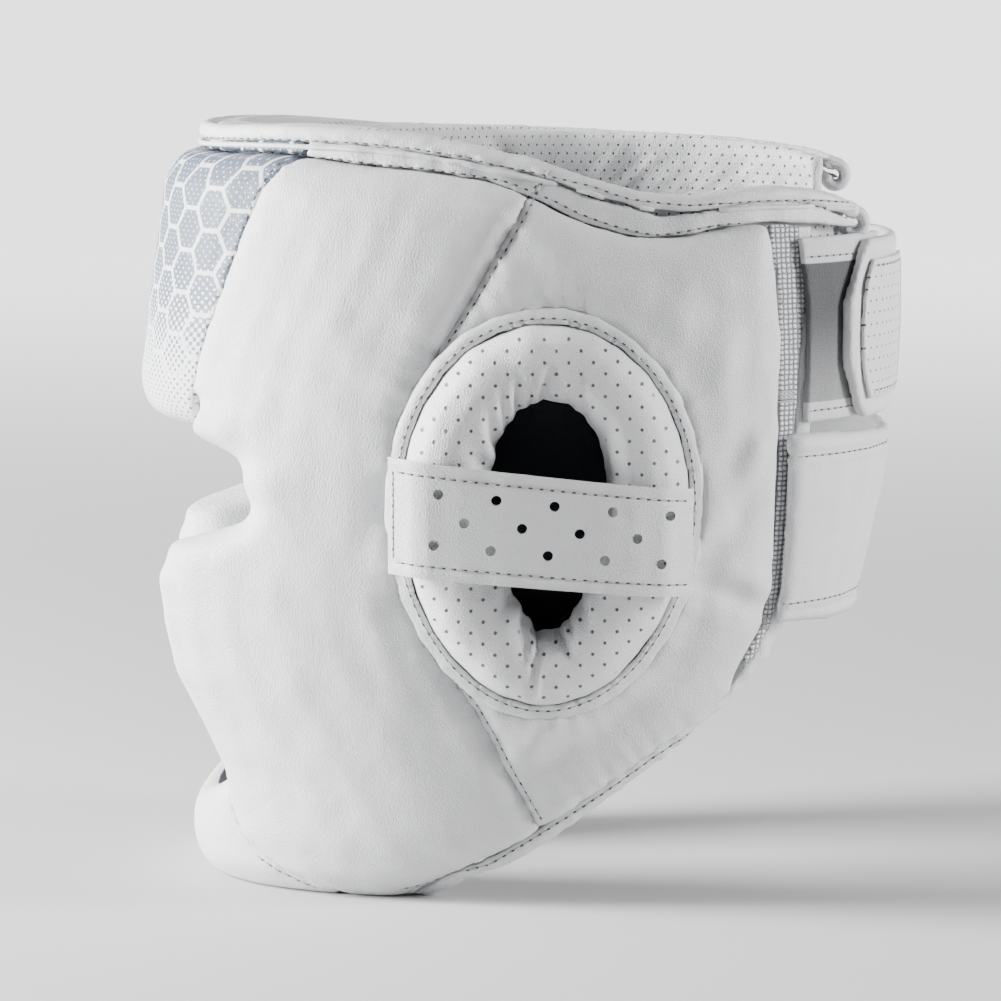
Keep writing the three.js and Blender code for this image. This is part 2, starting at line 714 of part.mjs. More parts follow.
const ovalProfile = (drop, depth, halfDrop, halfDepth, count) =>
  turns(count).map((turn) => ({
    drop: drop - halfDrop * Math.cos(turn),
    depth: depth + halfDepth * Math.sin(turn),
  }));

const bindingProfile = (phi) =>
  ovalProfile(
    RIM_BINDING_WIDTH / 2,
    collarDepth(phi) + COLLAR_THICKNESS / 2,
    RIM_BINDING_WIDTH / 2,
    RIM_BINDING_THICKNESS / 2,
    6,
  );

const sweatbandProfile = (phi) => {
  const collar = collarDepth(phi) + COLLAR_THICKNESS / 2 + RIM_BINDING_THICKNESS / 2 + FIT_GAP;
  const pad = padDepth(phi) + 3 * FIT_GAP;
  const bulge = pad + SWEATBAND_BULGE;
  return [
    { drop: 0.05 * SWEATBAND_HEIGHT, depth: collar },
    { drop: 0, depth: lerp(collar, bulge, 0.25) },
    { drop: 0.04 * SWEATBAND_HEIGHT, depth: lerp(collar, bulge, 0.55) },
    { drop: 0.2 * SWEATBAND_HEIGHT, depth: lerp(collar, bulge, 0.88) },
    { drop: 0.5 * SWEATBAND_HEIGHT, depth: bulge },
    { drop: 0.8 * SWEATBAND_HEIGHT, depth: bulge },
    { drop: 0.97 * SWEATBAND_HEIGHT, depth: lerp(pad, bulge, 0.7) },
    { drop: SWEATBAND_HEIGHT, depth: pad },
  ];
};

const pipingDrop = SWEATBAND_HEIGHT + COLLAR_GAP + PIPING_RADIUS;
const pipingProfile = (phi) =>
  ovalProfile(pipingDrop, padDepth(phi) + FIT_GAP + PIPING_RADIUS, PIPING_RADIUS, PIPING_RADIUS, 6);

function lining(left, right, bottom, us, vs) {
  return patch({
    left,
    right,
    bottom,
    top: (phi) => rimHeight(phi) - pipingDrop - PIPING_RADIUS - 5 * LINING_GAP,
    us,
    vs,
    outer: ({ phi }) => padDepth(phi) + LINING_GAP,
    inner: ({ phi }) => padDepth(phi) + LINING_GAP + LINING_THICKNESS,
  });
}

function sideSkin(side) {
  const inset = (z) => angleOf(LINING_INSET, faceEdge(z), z);
  const front = (z) => faceEdge(z) + inset(z);
  const back = (z) => cushionEnd(z) - inset(z) / 2;
  const low = (y) => Math.max(padEdgeShare(y / LENGTH) * HEIGHT, 0) + LINING_INSET;
  return lining(onSide(side, front), onSide(side, back), low, spread(4), even(7));
}

// The lining has a hole at the ear, and a thin mesh fills it
const meshOutline = (grow) => (turn) => earHoleOutline(turn, LINING_THICKNESS + grow);
const sideLining = (side) => cut(sideSkin(side), [sideCutter(side, meshOutline(0), 16)]);

function earMesh(side) {
  const window = toManifold(sideCutter(side, meshOutline(-FIT_GAP), 16));
  return toGeometry(toManifold(sideSkin(side)).intersect(window));
}

function frontLining() {
  const edge = (z) => faceEdge(z) - angleOf(LINING_INSET / 2, faceEdge(z), z);
  return lining((z) => -edge(z), edge, () => BROW_HEIGHT + LINING_INSET, even(8), even(2));
}

// The ring's section from its outer edge (across 0) over the crest to the hole (across 1)
// and back along the head side; lift is a share of EAR_RING_RISE, under a share of the pad
const RING_PROFILE = [
  { across: 0, lift: -0.25, under: 0 },
  { across: 0.07, lift: 0.42, under: 0 },
  { across: 0.22, lift: 0.86, under: 0 },
  { across: 0.45, lift: 1, under: 0 },
  { across: 0.7, lift: 0.84, under: 0 },
  { across: 0.9, lift: 0.38, under: 0 },
  { across: 1, lift: -0.5, under: 0 },
  { across: 0.95, lift: 0, under: 0.5 },
  { across: 0.04, lift: 0, under: 0.5 },
];

function earRing(side) {
  const rings = turns(30).map((turn) => {
    const outer = earOutline(turn, -EAR_FLANGE_WIDTH - 2 * FIT_GAP);
    const hole = earHoleOutline(turn);
    return RING_PROFILE.map(({ across, lift, under }) => {
      const spot = { y: lerp(outer.y, hole.y, across), z: lerp(outer.z, hole.z, across) };
      const depth = under * padDepth(angleAt(spot.y, spot.z));
      return overSide(side, spot, lift * EAR_RING_RISE - depth);
    });
  });
  return loft(rings, true);
}

function earFlange(side) {
  const rings = turns(30).map((turn) => {
    const outer = earOutline(turn, -FIT_GAP);
    const inner = earOutline(turn, -FIT_GAP - EAR_FLANGE_WIDTH);
    return [
      overSide(side, outer, -EAR_FLANGE_SLOPE),
      overSide(side, inner, 0),
      overSide(side, inner, -EAR_FLANGE_THICKNESS),
      overSide(side, outer, -EAR_FLANGE_THICKNESS - EAR_FLANGE_SLOPE),
    ];
  });
  return loft(rings, true);
}

const STRAP_LIFT = [
  { along: 0, lift: 0.32 },
  { along: 0.05, lift: 0.92 },
  { along: 0.12, lift: 1.08 },
  { along: 0.22, lift: 1.18 },
  { along: 0.35, lift: 1.2 },
  { along: 0.62, lift: 1.2 },
  { along: 0.78, lift: 1.18 },
  { along: 0.88, lift: 1.08 },
  { along: 0.95, lift: 0.92 },
  { along: 1, lift: 0.32 },
];

function earStrap(side) {
  const lift = follow(STRAP_LIFT, "along", "lift");
  const start = EAR_Y - EAR_HALF_LENGTH;
  const end = EAR_Y + EAR_HALF_LENGTH - EAR_FLANGE_WIDTH;
  const middle = (along) => lerp(EAR_STRAP_FRONT_Z, EAR_STRAP_REAR_Z, along);
  const width = (along) => lerp(EAR_STRAP_FRONT_WIDTH, EAR_STRAP_REAR_WIDTH, along);
  const spot = (along, across) => ({
    y: lerp(start, end, along),
    z: middle(along) + across * width(along),
  });
  const face = (extra) =>
    [-0.5, 0, 0.5].map((across) =>
      STRAP_LIFT.map(({ along }) => {
        const point = overSide(side, spot(along, across), 0);
        const level = overSide(side, spot(along, 0), lift(along) * EAR_RING_RISE + extra);
        return new THREE.Vector3(level.x, point.y, point.z);
      }),
    );
  const band = slab(face(EAR_STRAP_THICKNESS), face(0));
  const holes = STRAP_HOLE_ROWS.flatMap(({ first, step, count, across }) =>
    Array.from({ length: count }, (_, i) => {
      const centre = spot(first + step * i, across);
      const outline = (turn) => ({
        y: centre.y + EAR_STRAP_HOLE_RADIUS * Math.cos(turn),
        z: centre.z + EAR_STRAP_HOLE_RADIUS * Math.sin(turn),
      });
      return sideCutter(side, outline, 6);
    }),
  );
  return cut(band, holes);
}

// The binding under the cushions' lower edge, which turns up along the flap's rear edge
function lowerBinding(side) {
  const under = even(15).map((share) => {
    const y = lerp(BINDING_START, BINDING_TURN_Y, share);
    const edge = { y, z: boundShare(y / LENGTH) * HEIGHT };
    return { edge, inner: { y, z: padEdgeShare(y / LENGTH) * HEIGHT - SEAM_GAP } };
  });
  const behind = even(8).map((share) => {
    const z = lerp(BINDING_TURN_Z, LOWER_BINDING_TOP, share);
    const y = flapEndY(z / HEIGHT) * LENGTH;
    return { edge: { y, z }, inner: { y: y - LOWER_BINDING_WIDTH, z } };
  });
  const rings = [...under, ...behind].map(({ edge, inner }) => {
    const middle = { y: (edge.y + inner.y) / 2, z: (edge.z + inner.z) / 2 };
    const corner = ({ y, z }, share) => {
      const phi = side * angleAt(y, z);
      const deep = Math.max(padDepth(phi) / 2, FLAP_DEPTH + FLAP_THICKNESS / 2);
      return shell(phi, z, deep + (share * LOWER_BINDING_THICKNESS) / 2);
    };
    return [
      corner(inner, -0.8),
      corner(middle, -1),
      corner(edge, -0.6),
      corner(edge, 0.6),
      corner(middle, 1),
      corner(inner, 0.8),
    ];
  });
  return loft(rings);
}

const bindingInside = (z) =>
  angleAt(flapEndY(z / HEIGHT) * LENGTH - LOWER_BINDING_WIDTH - SEAM_GAP, z);

function rearFlap(side) {
  return patch({
    left: onSide(side, flapStart),
    right: onSide(side, bindingInside),
    bottom: () => BINDING_TURN_Z,
    top: topSeam,
    us: even(1),
    vs: FLAP_ROWS,
    outer: () => FLAP_DEPTH,
    inner: () => FLAP_DEPTH + FLAP_THICKNESS,
  });
}

// The layers over the rear flap, from the webbing out
const webbingDepth = FLAP_DEPTH - FIT_GAP - WEBBING_THICKNESS;
const wingDepth = webbingDepth - FIT_GAP - WING_THICKNESS;
const closureDepth = wingDepth - SEAM_GAP - STRAP_THICKNESS;
const tabPadDepth = closureDepth - FIT_GAP - TAB_PAD_THICKNESS;

// Tape along the rear edge of the cushion, over the flap, cut off along the binding
function webbing(side) {
  const end = (z) => flapStart(z) + angleOf(WEBBING_WIDTH, flapStart(z), z);
  return patch({
    left: onSide(side, flapStart),
    right: onSide(side, (z) => Math.min(end(z), bindingInside(z))),
    bottom: () => BINDING_TURN_Z,
    top: topSeam,
    us: even(1),
    vs: FLAP_ROWS,
    outer: () => webbingDepth,
    inner: () => webbingDepth + WEBBING_THICKNESS,
  });
}

function wing(side) {
  return patch({
    left: onSide(side, (z) => cushionEnd(z) + angleOf(WING_INSET, cushionEnd(z), z)),
    right: () => side * WING_END_ANGLE,
    bottom: () => WING_BOTTOM,
    top: () => WING_TOP,
    us: even(4),
    vs: even(3),
    outer: () => wingDepth,
    inner: () => wingDepth + WING_THICKNESS,
  });
}

// Angles past the nape run on from the wearer's left to the right
const past = (angle) => 2 * Math.PI - angle;

function closureTip(z) {
  const middle = (WING_BOTTOM + CLOSURE_TOP) / 2;
  const share = (z - middle) / (CLOSURE_TOP - middle);
  return CLOSURE_TIP_ANGLE + CLOSURE_TIP_ROUND * Math.abs(clamp(share, -1, 1)) ** 2.6;
}

function closureStrap() {
  return patch({
    left: closureTip,
    right: () => past(WING_END_ANGLE - CLOSURE_LAP_ANGLE),
    bottom: () => WING_BOTTOM,
    top: () => CLOSURE_TOP,
    us: even(10),
    vs: spread(5),
    outer: () => closureDepth,
    inner: () => closureDepth + STRAP_THICKNESS,
  });
}

function closureTabPad() {
  const border = angleOf(TAB_PAD_BORDER, CLOSURE_TIP_ANGLE, CLOSURE_TOP);
  return patch({
    left: (z) => closureTip(z) + border,
    right: () => Math.PI - border / 2,
    bottom: () => WING_BOTTOM + TAB_PAD_BORDER,
    top: () => CLOSURE_TOP - TAB_PAD_BORDER,
    us: even(4),
    vs: even(7),
    outer: () => tabPadDepth,
    inner: () => tabPadDepth + TAB_PAD_THICKNESS,
  });
}

// The neck strap lies on the webbing at its ends, and bulges out and sags between them
function neckStrap() {
  const seat = webbingDepth - FIT_GAP;
  const end = (z) => cushionEnd(z) + angleOf(NECK_END_GAP, cushionEnd(z), z);
  const sag = (phi) => NECK_SAG * (1 - Math.abs(Math.sin(phi)));
  const bulge = ({ u }) => NECK_BULGE * Math.sin(Math.PI * u);
  const top = WING_BOTTOM - SEAM_GAP;
  return patch({
    left: end,
    right: (z) => past(end(z)),
    bottom: (_, phi) => top - NECK_HEIGHT - sag(phi),
    top: (phi) => top - sag(phi),
    us: spread(12),
    vs: spread(8),
    outer: (spot) => seat - NECK_THICKNESS - bulge(spot),
    inner: (spot) => seat - bulge(spot),
    rules: { left: neckEdge, right: neckEdge, bottom: neckEdge, top: neckEdge },
  });
}

piece("forehead_pad", foreheadPad(), PRINT);
piece("chin_bar", chinBar(), LEATHER);
const strip = (from, to, count) => rimStrip(from, to, count, collarProfile);
piece("collar_front", strip(-printEnd, printEnd, 12), PRINT);
piece("rim_binding", rimStrip(-rimEnd, rimEnd, 40, bindingProfile), LEATHER);
piece("sweatband", rimStrip(-rimEnd, rimEnd, 28, sweatbandProfile), LEATHER);
piece("sweatband_piping", rimStrip(-rimEnd, rimEnd, 28, pipingProfile), LEATHER);
piece("lining_front", frontLining(), DARK);
for (const side of [1, -1]) {
  const name = sideName(side);
  const start = side * (printEnd + SEAM_GAP / HALF_WIDTH);
  piece(`cheek_pad_${name}`, cheekPad(side), LEATHER);
  piece(`side_pad_${name}`, sidePad(side), LEATHER);
  piece(`collar_${name}`, strip(start, side * rimEnd, 18), LEATHER);
  piece(`lining_${name}`, sideLining(side), DARK);
  piece(`ear_mesh_${name}`, earMesh(side), DARK);
  piece(`ear_ring_${name}`, earRing(side), LEATHER);
  piece(`ear_flange_${name}`, earFlange(side), LEATHER);
  piece(`ear_strap_${name}`, earStrap(side), LEATHER);
  piece(`lower_binding_${name}`, lowerBinding(side), LEATHER);
  piece(`rear_flap_${name}`, rearFlap(side), LEATHER);
  piece(`webbing_${name}`, webbing(side), WOVEN);
  piece(`wing_${name}`, wing(side), WOVEN);
}
piece("closure_strap", closureStrap(), LEATHER);
piece("closure_tab_pad", closureTabPad(), LEATHER);
piece("neck_strap", neckStrap(), LEATHER);

export default group;
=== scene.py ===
# %% [markdown]
# # A full face head guard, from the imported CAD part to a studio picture
# The CAD part gives the place and the size of every piece. Each cell below takes one kind of
# piece, gives it the soft shape and the surface that leather, foam and tape have, and says why.

# %% Load the frame
import math
import bpy
import numpy as np
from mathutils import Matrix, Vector
from mathutils.bvhtree import BVHTree


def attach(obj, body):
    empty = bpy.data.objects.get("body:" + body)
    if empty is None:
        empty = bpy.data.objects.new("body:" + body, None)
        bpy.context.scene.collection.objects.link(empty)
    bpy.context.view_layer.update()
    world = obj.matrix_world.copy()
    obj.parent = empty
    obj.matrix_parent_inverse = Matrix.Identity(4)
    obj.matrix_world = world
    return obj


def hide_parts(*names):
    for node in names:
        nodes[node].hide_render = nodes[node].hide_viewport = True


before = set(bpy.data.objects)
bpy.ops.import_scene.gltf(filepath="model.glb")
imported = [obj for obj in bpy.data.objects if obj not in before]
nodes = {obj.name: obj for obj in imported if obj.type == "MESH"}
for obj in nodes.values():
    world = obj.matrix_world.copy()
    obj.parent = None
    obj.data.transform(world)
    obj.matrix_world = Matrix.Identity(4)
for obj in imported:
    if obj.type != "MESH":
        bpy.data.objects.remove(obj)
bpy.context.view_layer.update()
# Millimetre in metres, the head's axis in y (mm), and the sign of x on the wearer's two sides
MM = 0.001
CENTRE_Y = -8.0
SIDES = {"left": 1, "right": -1}
print("CAD nodes:", len(nodes))


def sized(full):
    return full


# %% [markdown]
# ## Small tools for points
# Blender meshes are edited here as arrays of points in millimetres. `relax` is a smoothing
# that doesn't shrink: each round pulls every point to its neighbours and then pushes it back.
# It could be the Smooth modifier, but that one flattens the rolled edges of the cushions.

# %% Tools for points
def select(obj):
    bpy.ops.object.select_all(action="DESELECT")
    obj.select_set(True)
    bpy.context.view_layer.objects.active = obj


def points_of(obj):
    flat = np.empty(len(obj.data.vertices) * 3, np.float32)
    obj.data.vertices.foreach_get("co", flat)
    return flat.reshape(-1, 3).astype(float) / MM


def set_points(obj, points):
    obj.data.vertices.foreach_set("co", (points * MM).astype(np.float32).ravel())
    obj.data.update()


def normals_of(obj):
    flat = np.empty(len(obj.data.vertices) * 3, np.float32)
    obj.data.vertex_normals.foreach_get("vector", flat)
    return flat.reshape(-1, 3).astype(float)


def push(obj, amount):
    set_points(obj, points_of(obj) + normals_of(obj) * amount[:, None])


def neighbour_mean(obj):
    """A function that gives, for a column of values, the mean over each point's neighbours."""
    flat = np.empty(len(obj.data.edges) * 2, np.int32)
    obj.data.edges.foreach_get("vertices", flat)
    a, b = flat.reshape(-1, 2).T
    size = len(obj.data.vertices)
    count = np.maximum(np.bincount(a, minlength=size) + np.bincount(b, minlength=size), 1)
    return lambda column: (np.bincount(a, column[b], size) + np.bincount(b, column[a], size)) / count


def relax(obj, rounds, weight=1.0):
    points = points_of(obj)
    mean = neighbour_mean(obj)
    weight = np.broadcast_to(weight, len(points))[:, None]
    for _ in range(rounds):
        for step in (0.5, -0.52):
            points += (np.stack([mean(points[:, k]) for k in range(3)], 1) - points) * step * weight
    set_points(obj, points)


def smoothstep(x, low, high):
    t = np.clip((np.asarray(x, float) - low) / (high - low), 0, 1)
    return t * t * (3 - 2 * t)


def bump(x, centre, width):
    return np.exp(-(((np.asarray(x, float) - centre) / width) ** 2))


def ripple(x, seed, pitch, waves=5):
    """A smooth random wave along x, about -1 to 1, with bumps about pitch apart."""
    draw = np.random.default_rng(seed)
    out = np.zeros(np.shape(x))
    for _ in range(waves):
        length = pitch * draw.uniform(0.6, 1.7)
        out += np.sin(np.asarray(x) * 2 * np.pi / length + draw.uniform(0, 6.28))
    return out / math.sqrt(waves * 1.2)


def tree_of(objects):
    """A search tree of faces, to find the nearest spot on some objects or to cast rays at them."""
    vertices, faces = [], []
    for obj in objects:
        start = len(vertices)
        vertices += [v.co.copy() for v in obj.data.vertices]
        faces += [[start + i for i in p.vertices] for p in obj.data.polygons]
    return BVHTree.FromPolygons(vertices, faces)


def distance_to(points, tree):
    """Distance in mm from each point to the nearest face in the tree."""
    return np.array([tree.find_nearest(Vector(p * MM))[3] for p in points]) / MM


def polar(points):
    """Angle round the head, 0 at the brow and positive to the wearer's left."""
    return np.arctan2(points[:, 0], -(points[:, 1] - CENTRE_Y))


# %% [markdown]
# ## From a CAD solid to a soft piece
# The CAD solids have flat facets 10 mm wide. A voxel remesh gives an even skin of small
# squares, and `relax` rounds the facets away. Where a cushion meets its neighbour the weight
# is 0, so the seam stays closed and in its place.

# %% Soft copies of CAD nodes
made = {}


def copy_of(node):
    """A CAD node's mesh as a new object, with its loose triangles joined up."""
    mesh = nodes[node].data.copy()
    mesh.materials.clear()
    piece = bpy.data.objects.new("soft_" + node, mesh)
    bpy.context.scene.collection.objects.link(piece)
    select(piece)
    bpy.ops.object.mode_set(mode="EDIT")
    bpy.ops.mesh.select_all(action="SELECT")
    bpy.ops.mesh.remove_doubles(threshold=1e-6)
    bpy.ops.object.mode_set(mode="OBJECT")
    return piece


def modify(piece, kind, **settings):
    select(piece)
    modifier = piece.modifiers.new(kind.title(), kind)
    for key, value in settings.items():
        setattr(modifier, key, value)
    bpy.ops.object.modifier_apply(modifier=modifier.name)


def keep(piece, *replaced):
    """Registers a finished piece: it rides on the frame and stands for its CAD nodes."""
    select(piece)
    bpy.ops.object.shade_smooth()
    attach(piece, "root")
    if replaced:
        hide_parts(*replaced)
    made[piece.name] = piece


def soft(node, voxel, rounds, beside=(), reach=5.0):
    """A remeshed, relaxed copy of a node. It stays put where it meets the nodes beside it."""
    piece = copy_of(node)
    modify(piece, "REMESH", mode="VOXEL", voxel_size=voxel * MM)
    if not beside:
        relax(piece, rounds)
        return piece
    other = tree_of([nodes[n] for n in beside])
    gap = distance_to(points_of(piece), other)
    relax(piece, rounds, smoothstep(gap, 1.2, reach))
    close_seam(piece, other)
    return piece


def close_seam(piece, other, reach=3.5):
    """Draws the edge of a piece up to the neighbour that it is sewn to."""
    points = points_of(piece)
    for i, point in enumerate(points):
        spot, _, _, gap = other.find_nearest(Vector(point * MM), reach * MM)
        if spot is not None:
            share = 0.62 * (1 - smoothstep(gap / MM, 1.6, reach))
            points[i] += (np.array(spot) / MM - point) * share
    set_points(piece, points)


# %% [markdown]
# ## Seam lines
# On the real guard the panels meet along sewn seams. The puckers, the stitches and the welt all
# follow them. They could be found from the edges of the CAD nodes, but a short list of points in
# side view is easier to read and is shared by every cell below. Only the line of the top rim
# runs round the head, so that one is measured from its node.

# %% Seam lines in side view (y, z), and the rim's height round the head
MAIN_SEAM = [(9.5, 266), (2.4, 251.9), (-6.8, 236), (-17.4, 218), (-27.7, 202.9), (-33.5, 190),
             (-37, 172), (-38, 148), (-36, 120), (-31, 100), (-24.5, 82.5), (-17.4, 75), (-10.4, 62.8),
             (-3.3, 48.3), (6.2, 31.1), (12, 20)]
LOWER_SEAM = [(-44.4, 4.8), (-35, 7.2), (-25.1, 11), (-11.5, 15.4), (6.5, 27), (28.2, 41.4),
              (47.2, 54.6), (60.7, 62.9), (77.7, 73.9)]
CHIN_STITCHES = [(-95.7, 13.6), (-87.2, 8.4), (-79, 4.5), (-73, 2.2)]
PRINT_SEAM = [(-82.5, 266.8), (-88.9, 260.5), (-93.5, 252.4), (-98.3, 240.4), (-103.9, 225.6)]
# The ear opening's outline and the hole in its ring: middle y and z, half length, half height
EAR = (9.0, 142.5, 55.0, 72.0)
EAR_HOLE = (10.2, 142.5, 19.5, 40.5)


def resample(line, step):
    """The same line with points at even steps along it."""
    line = np.asarray(line, float)
    lengths = np.r_[0, np.cumsum(np.linalg.norm(np.diff(line, axis=0), axis=1))]
    count = max(2, int(round(lengths[-1] / step)) + 1)
    at = np.linspace(0, lengths[-1], count)
    return np.stack([np.interp(at, lengths, line[:, k]) for k in range(line.shape[1])], 1)


def ear_line(grow=0.0):
    """The oval edge of the ear opening, moved outwards by grow."""
    turn = np.radians(np.linspace(0, 360, 160))
    y, z, length, height = EAR
    swell = 1 + 0.05 * np.sin(turn)
    ahead, up = (length * swell + grow) * np.cos(turn), (height + grow) * np.sin(turn)
    return np.stack([y + ahead, z + up], 1)


def side_distance(points, line):
    """Distance in side view from each point to a line, and how far along the line it is."""
    line = resample(line, 2.0)
    best = np.full(len(points), 1e9)
    along = np.zeros(len(points))
    for i, (y, z) in enumerate(line):
        d = np.hypot(points[:, 1] - y, points[:, 2] - z)
        near = d < best
        best[near] = d[near]
        along[near] = i * 2.0
    return best, along


def top_line(points, window):
    """The highest points of a piece round the head, as angles and heights."""
    phi = polar(points)
    order = np.argsort(phi)
    phi, z = phi[order], points[order, 2]
    grid = np.linspace(phi.min(), phi.max(), 90)
    top = np.array([z[np.abs(phi - g) < window].max() for g in grid])
    top = np.convolve(np.pad(top, 2, "edge"), np.ones(5) / 5, "valid")
    return grid, top


RIM_PHI, RIM_Z = top_line(points_of(nodes["rim_binding"]), 0.15)


def rim_height(phi):
    return np.interp(phi, RIM_PHI, RIM_Z)


print("rim runs from", RIM_Z.min().round(1), "to", RIM_Z.max().round(1), "mm high")

# %% [markdown]
# ## The cushions
# Forehead, two cheeks, two sides and the chin bar, all firm foam under leather. Cloth with
# pressure is the usual way to make a padded piece. Here the pieces are sewn to each other along
# closed seams, and the CAD solids already have the crowned shape, so each one is remeshed and
# relaxed instead, and its seams stay where they are. Leather over foam has small puckers where
# thread pulls it in along a seam, and slow hollows between. Both are pushed in along the
# normals, and the puckers fade with the distance from the seam line.

# %% Cushions
# Each cushion with the neighbours that it is sewn to
CUSHIONS = {
    "forehead_pad": ["cheek_pad_left", "cheek_pad_right"],
    "chin_bar": ["cheek_pad_left", "cheek_pad_right"],
    "cheek_pad_left": ["forehead_pad", "chin_bar", "side_pad_left"],
    "cheek_pad_right": ["forehead_pad", "chin_bar", "side_pad_right"],
    "side_pad_left": ["cheek_pad_left"],
    "side_pad_right": ["cheek_pad_right"],
}


def outward(points, obj):
    """1 where a point lies on the outer face of the shell, 0 on the faces towards the head."""
    normal = normals_of(obj)
    out = np.stack([points[:, 0], points[:, 1] - CENTRE_Y], 1)
    out /= np.linalg.norm(out, axis=1)[:, None]
    return smoothstep((normal[:, :2] * out).sum(1), 0.0, 0.5)


# Folds in the rear panel and the cheek: middle y and z, length, width, turn in degrees, depth
SIDE_FOLDS = [
    (68, 126, 14, 6, 60, 1.6), (60, 100, 18, 6, 35, 2.0), (76, 112, 13, 4.5, -24, 2.4),
    (50, 82, 20, 7, 25, 2.4), (30, 66, 22, 7, 20, 1.8), (80, 143, 9, 6, 60, 2.2),
    (84, 163, 13, 4.5, 57, -1.8),
    (66, 215, 20, 8, 160, 1.1), (40, 228, 24, 8, 165, 0.9), (82, 190, 24, 6, 95, 0.9),
    (10, 52, 18, 6, 30, 1.1), (80, 92, 10, 5, 40, 1.2), (2, 232, 16, 6, 120, 0.7),
]
CHEEK_FOLDS = [(-95, 26, 14, 4, 130, 0.5), (-75, 16, 16, 4, 155, 0.5), (-30, 60, 22, 8, 110, 0.4),
               (-100, 150, 12, 5, 90, 0.4)]
# Swellings of the cheek's front edge: height, width, how far forward, and where they start
CHEEK_SWELLINGS = [(127.0, 8.5, 5.0, 95), (152.0, 7.0, 4.5, 72), (169.0, 7.5, 6.0, 88)]


def folds(points, table):
    """Curved troughs, each with a lower ridge along one side."""
    amount = np.zeros(len(points))
    for y, z, length, width, turn, depth in table:
        c, s = math.cos(math.radians(turn)), math.sin(math.radians(turn))
        dy, dz = points[:, 1] - y, points[:, 2] - z
        along, across = dy * c + dz * s, -dy * s + dz * c
        across = across + 0.012 * along ** 2
        ridge = (across - 1.7 * width) / width
        amount -= depth * np.exp(-(along / length) ** 2 - (across / width) ** 2)
        amount += 0.55 * depth * np.exp(-(along / length) ** 2 - ridge ** 2)
    return amount


for node, beside in CUSHIONS.items():
    piece = soft(node, sized(1.7), sized(220), beside)
    points = points_of(piece)
    face = outward(points, piece)
    amount = 0.25 * ripple(points[:, 1] + 0.6 * points[:, 2], 3, 45) * ripple(points[:, 2], 5, 60)
    if "cheek" in node or "side" in node:
        for line, depth in ((MAIN_SEAM, 0.5), (ear_line(), 0.35), (LOWER_SEAM, 0.35)):
            gap, along = side_distance(points, line)
            amount += depth * np.exp(-gap / 6.0) * ripple(along, 11, 9)
        amount += folds(points, SIDE_FOLDS if "side" in node else CHEEK_FOLDS)
    push(piece, amount * face)
    if "cheek" in node:
        points = points_of(piece)
        for level, width, reach, front in CHEEK_SWELLINGS:
            forward = smoothstep(-points[:, 1], front, front + 22)
            points[:, 1] -= reach * bump(points[:, 2], level, width) * forward
        set_points(piece, points)
    made[piece.name] = piece
    print(node, len(piece.data.polygons), "faces")

# %% [markdown]
# ## The ear rings
# A foam ring under perforated leather, gathered round the teardrop hole. The folds are sharp
# valleys that fan out from the hole. They could be sculpted by hand, but a short table of
# angles gives narrow troughs that fade outwards, the same on both sides. Two close seams run
# down from the hole's foot. The flange is the flat leather edge that the ring is sewn on by.

# %% Ear rings and their sewn flanges
def ring_share(points):
    """0 at the outer edge of the ring, 1 at the hole, and the angle round it in radians."""
    y, z, length, height = EAR
    outer = np.hypot((points[:, 1] - y) / length, (points[:, 2] - z) / height)
    hy, hz, hl, hh = EAR_HOLE
    turn = np.arctan2((points[:, 2] - hz) / hh, (points[:, 1] - hy) / hl)
    wide = hl * (1 + 0.25 * np.sin(turn))
    inner = np.hypot((points[:, 1] - hy) / wide, (points[:, 2] - hz) / hh)
    share = (1 - outer) / np.maximum((1 - outer) + (inner - 1), 1e-3)
    return np.clip(share, 0, 1), turn


# Gathers round the hole: angle and width in degrees, depth in mm
GATHERS = [(96, 5, 1.5), (108, 4, 1.0), (121, 5, 1.5), (134, 4, 1.1), (146, 5, 1.4), (160, 4, 0.9),
           (174, 4, 0.6), (70, 5, 0.7), (55, 4, 0.5), (40, 5, 0.5), (205, 5, 0.5), (228, 5, 0.8),
           (243, 4, 0.9), (254, 4, 0.9), (281, 3, 0.9), (292, 4, 0.7), (308, 5, 0.5), (330, 6, 0.4)]
# The ring's two lower seams: y at the heights in RING_SEAM_Z, and the height where they end
RING_SEAMS = [(4.0, 6.8), (3.0, 6.8)]
RING_SEAM_Z = (70, 102)
RING_SEAM_TOP = 106
# Gathers and seams fade out where the ring comes nearer to the middle plane than this
RING_BASE_X = 84


def gathers(share, turn):
    degrees = np.degrees(turn) % 360
    amount = np.zeros(len(share))
    for at, width, depth in GATHERS:
        off = (degrees - at + 180) % 360 - 180
        off = off + 14 * (1 - share) * math.sin(at)
        fade = smoothstep(share, 0.35, 0.85) * (1 - 0.7 * smoothstep(share, 0.86, 1.0))
        amount -= depth * fade * np.exp(-(off / width) ** 2)
        amount += 0.6 * depth * fade * np.exp(-((off - 1.6 * width) / (1.3 * width)) ** 2)
    return amount


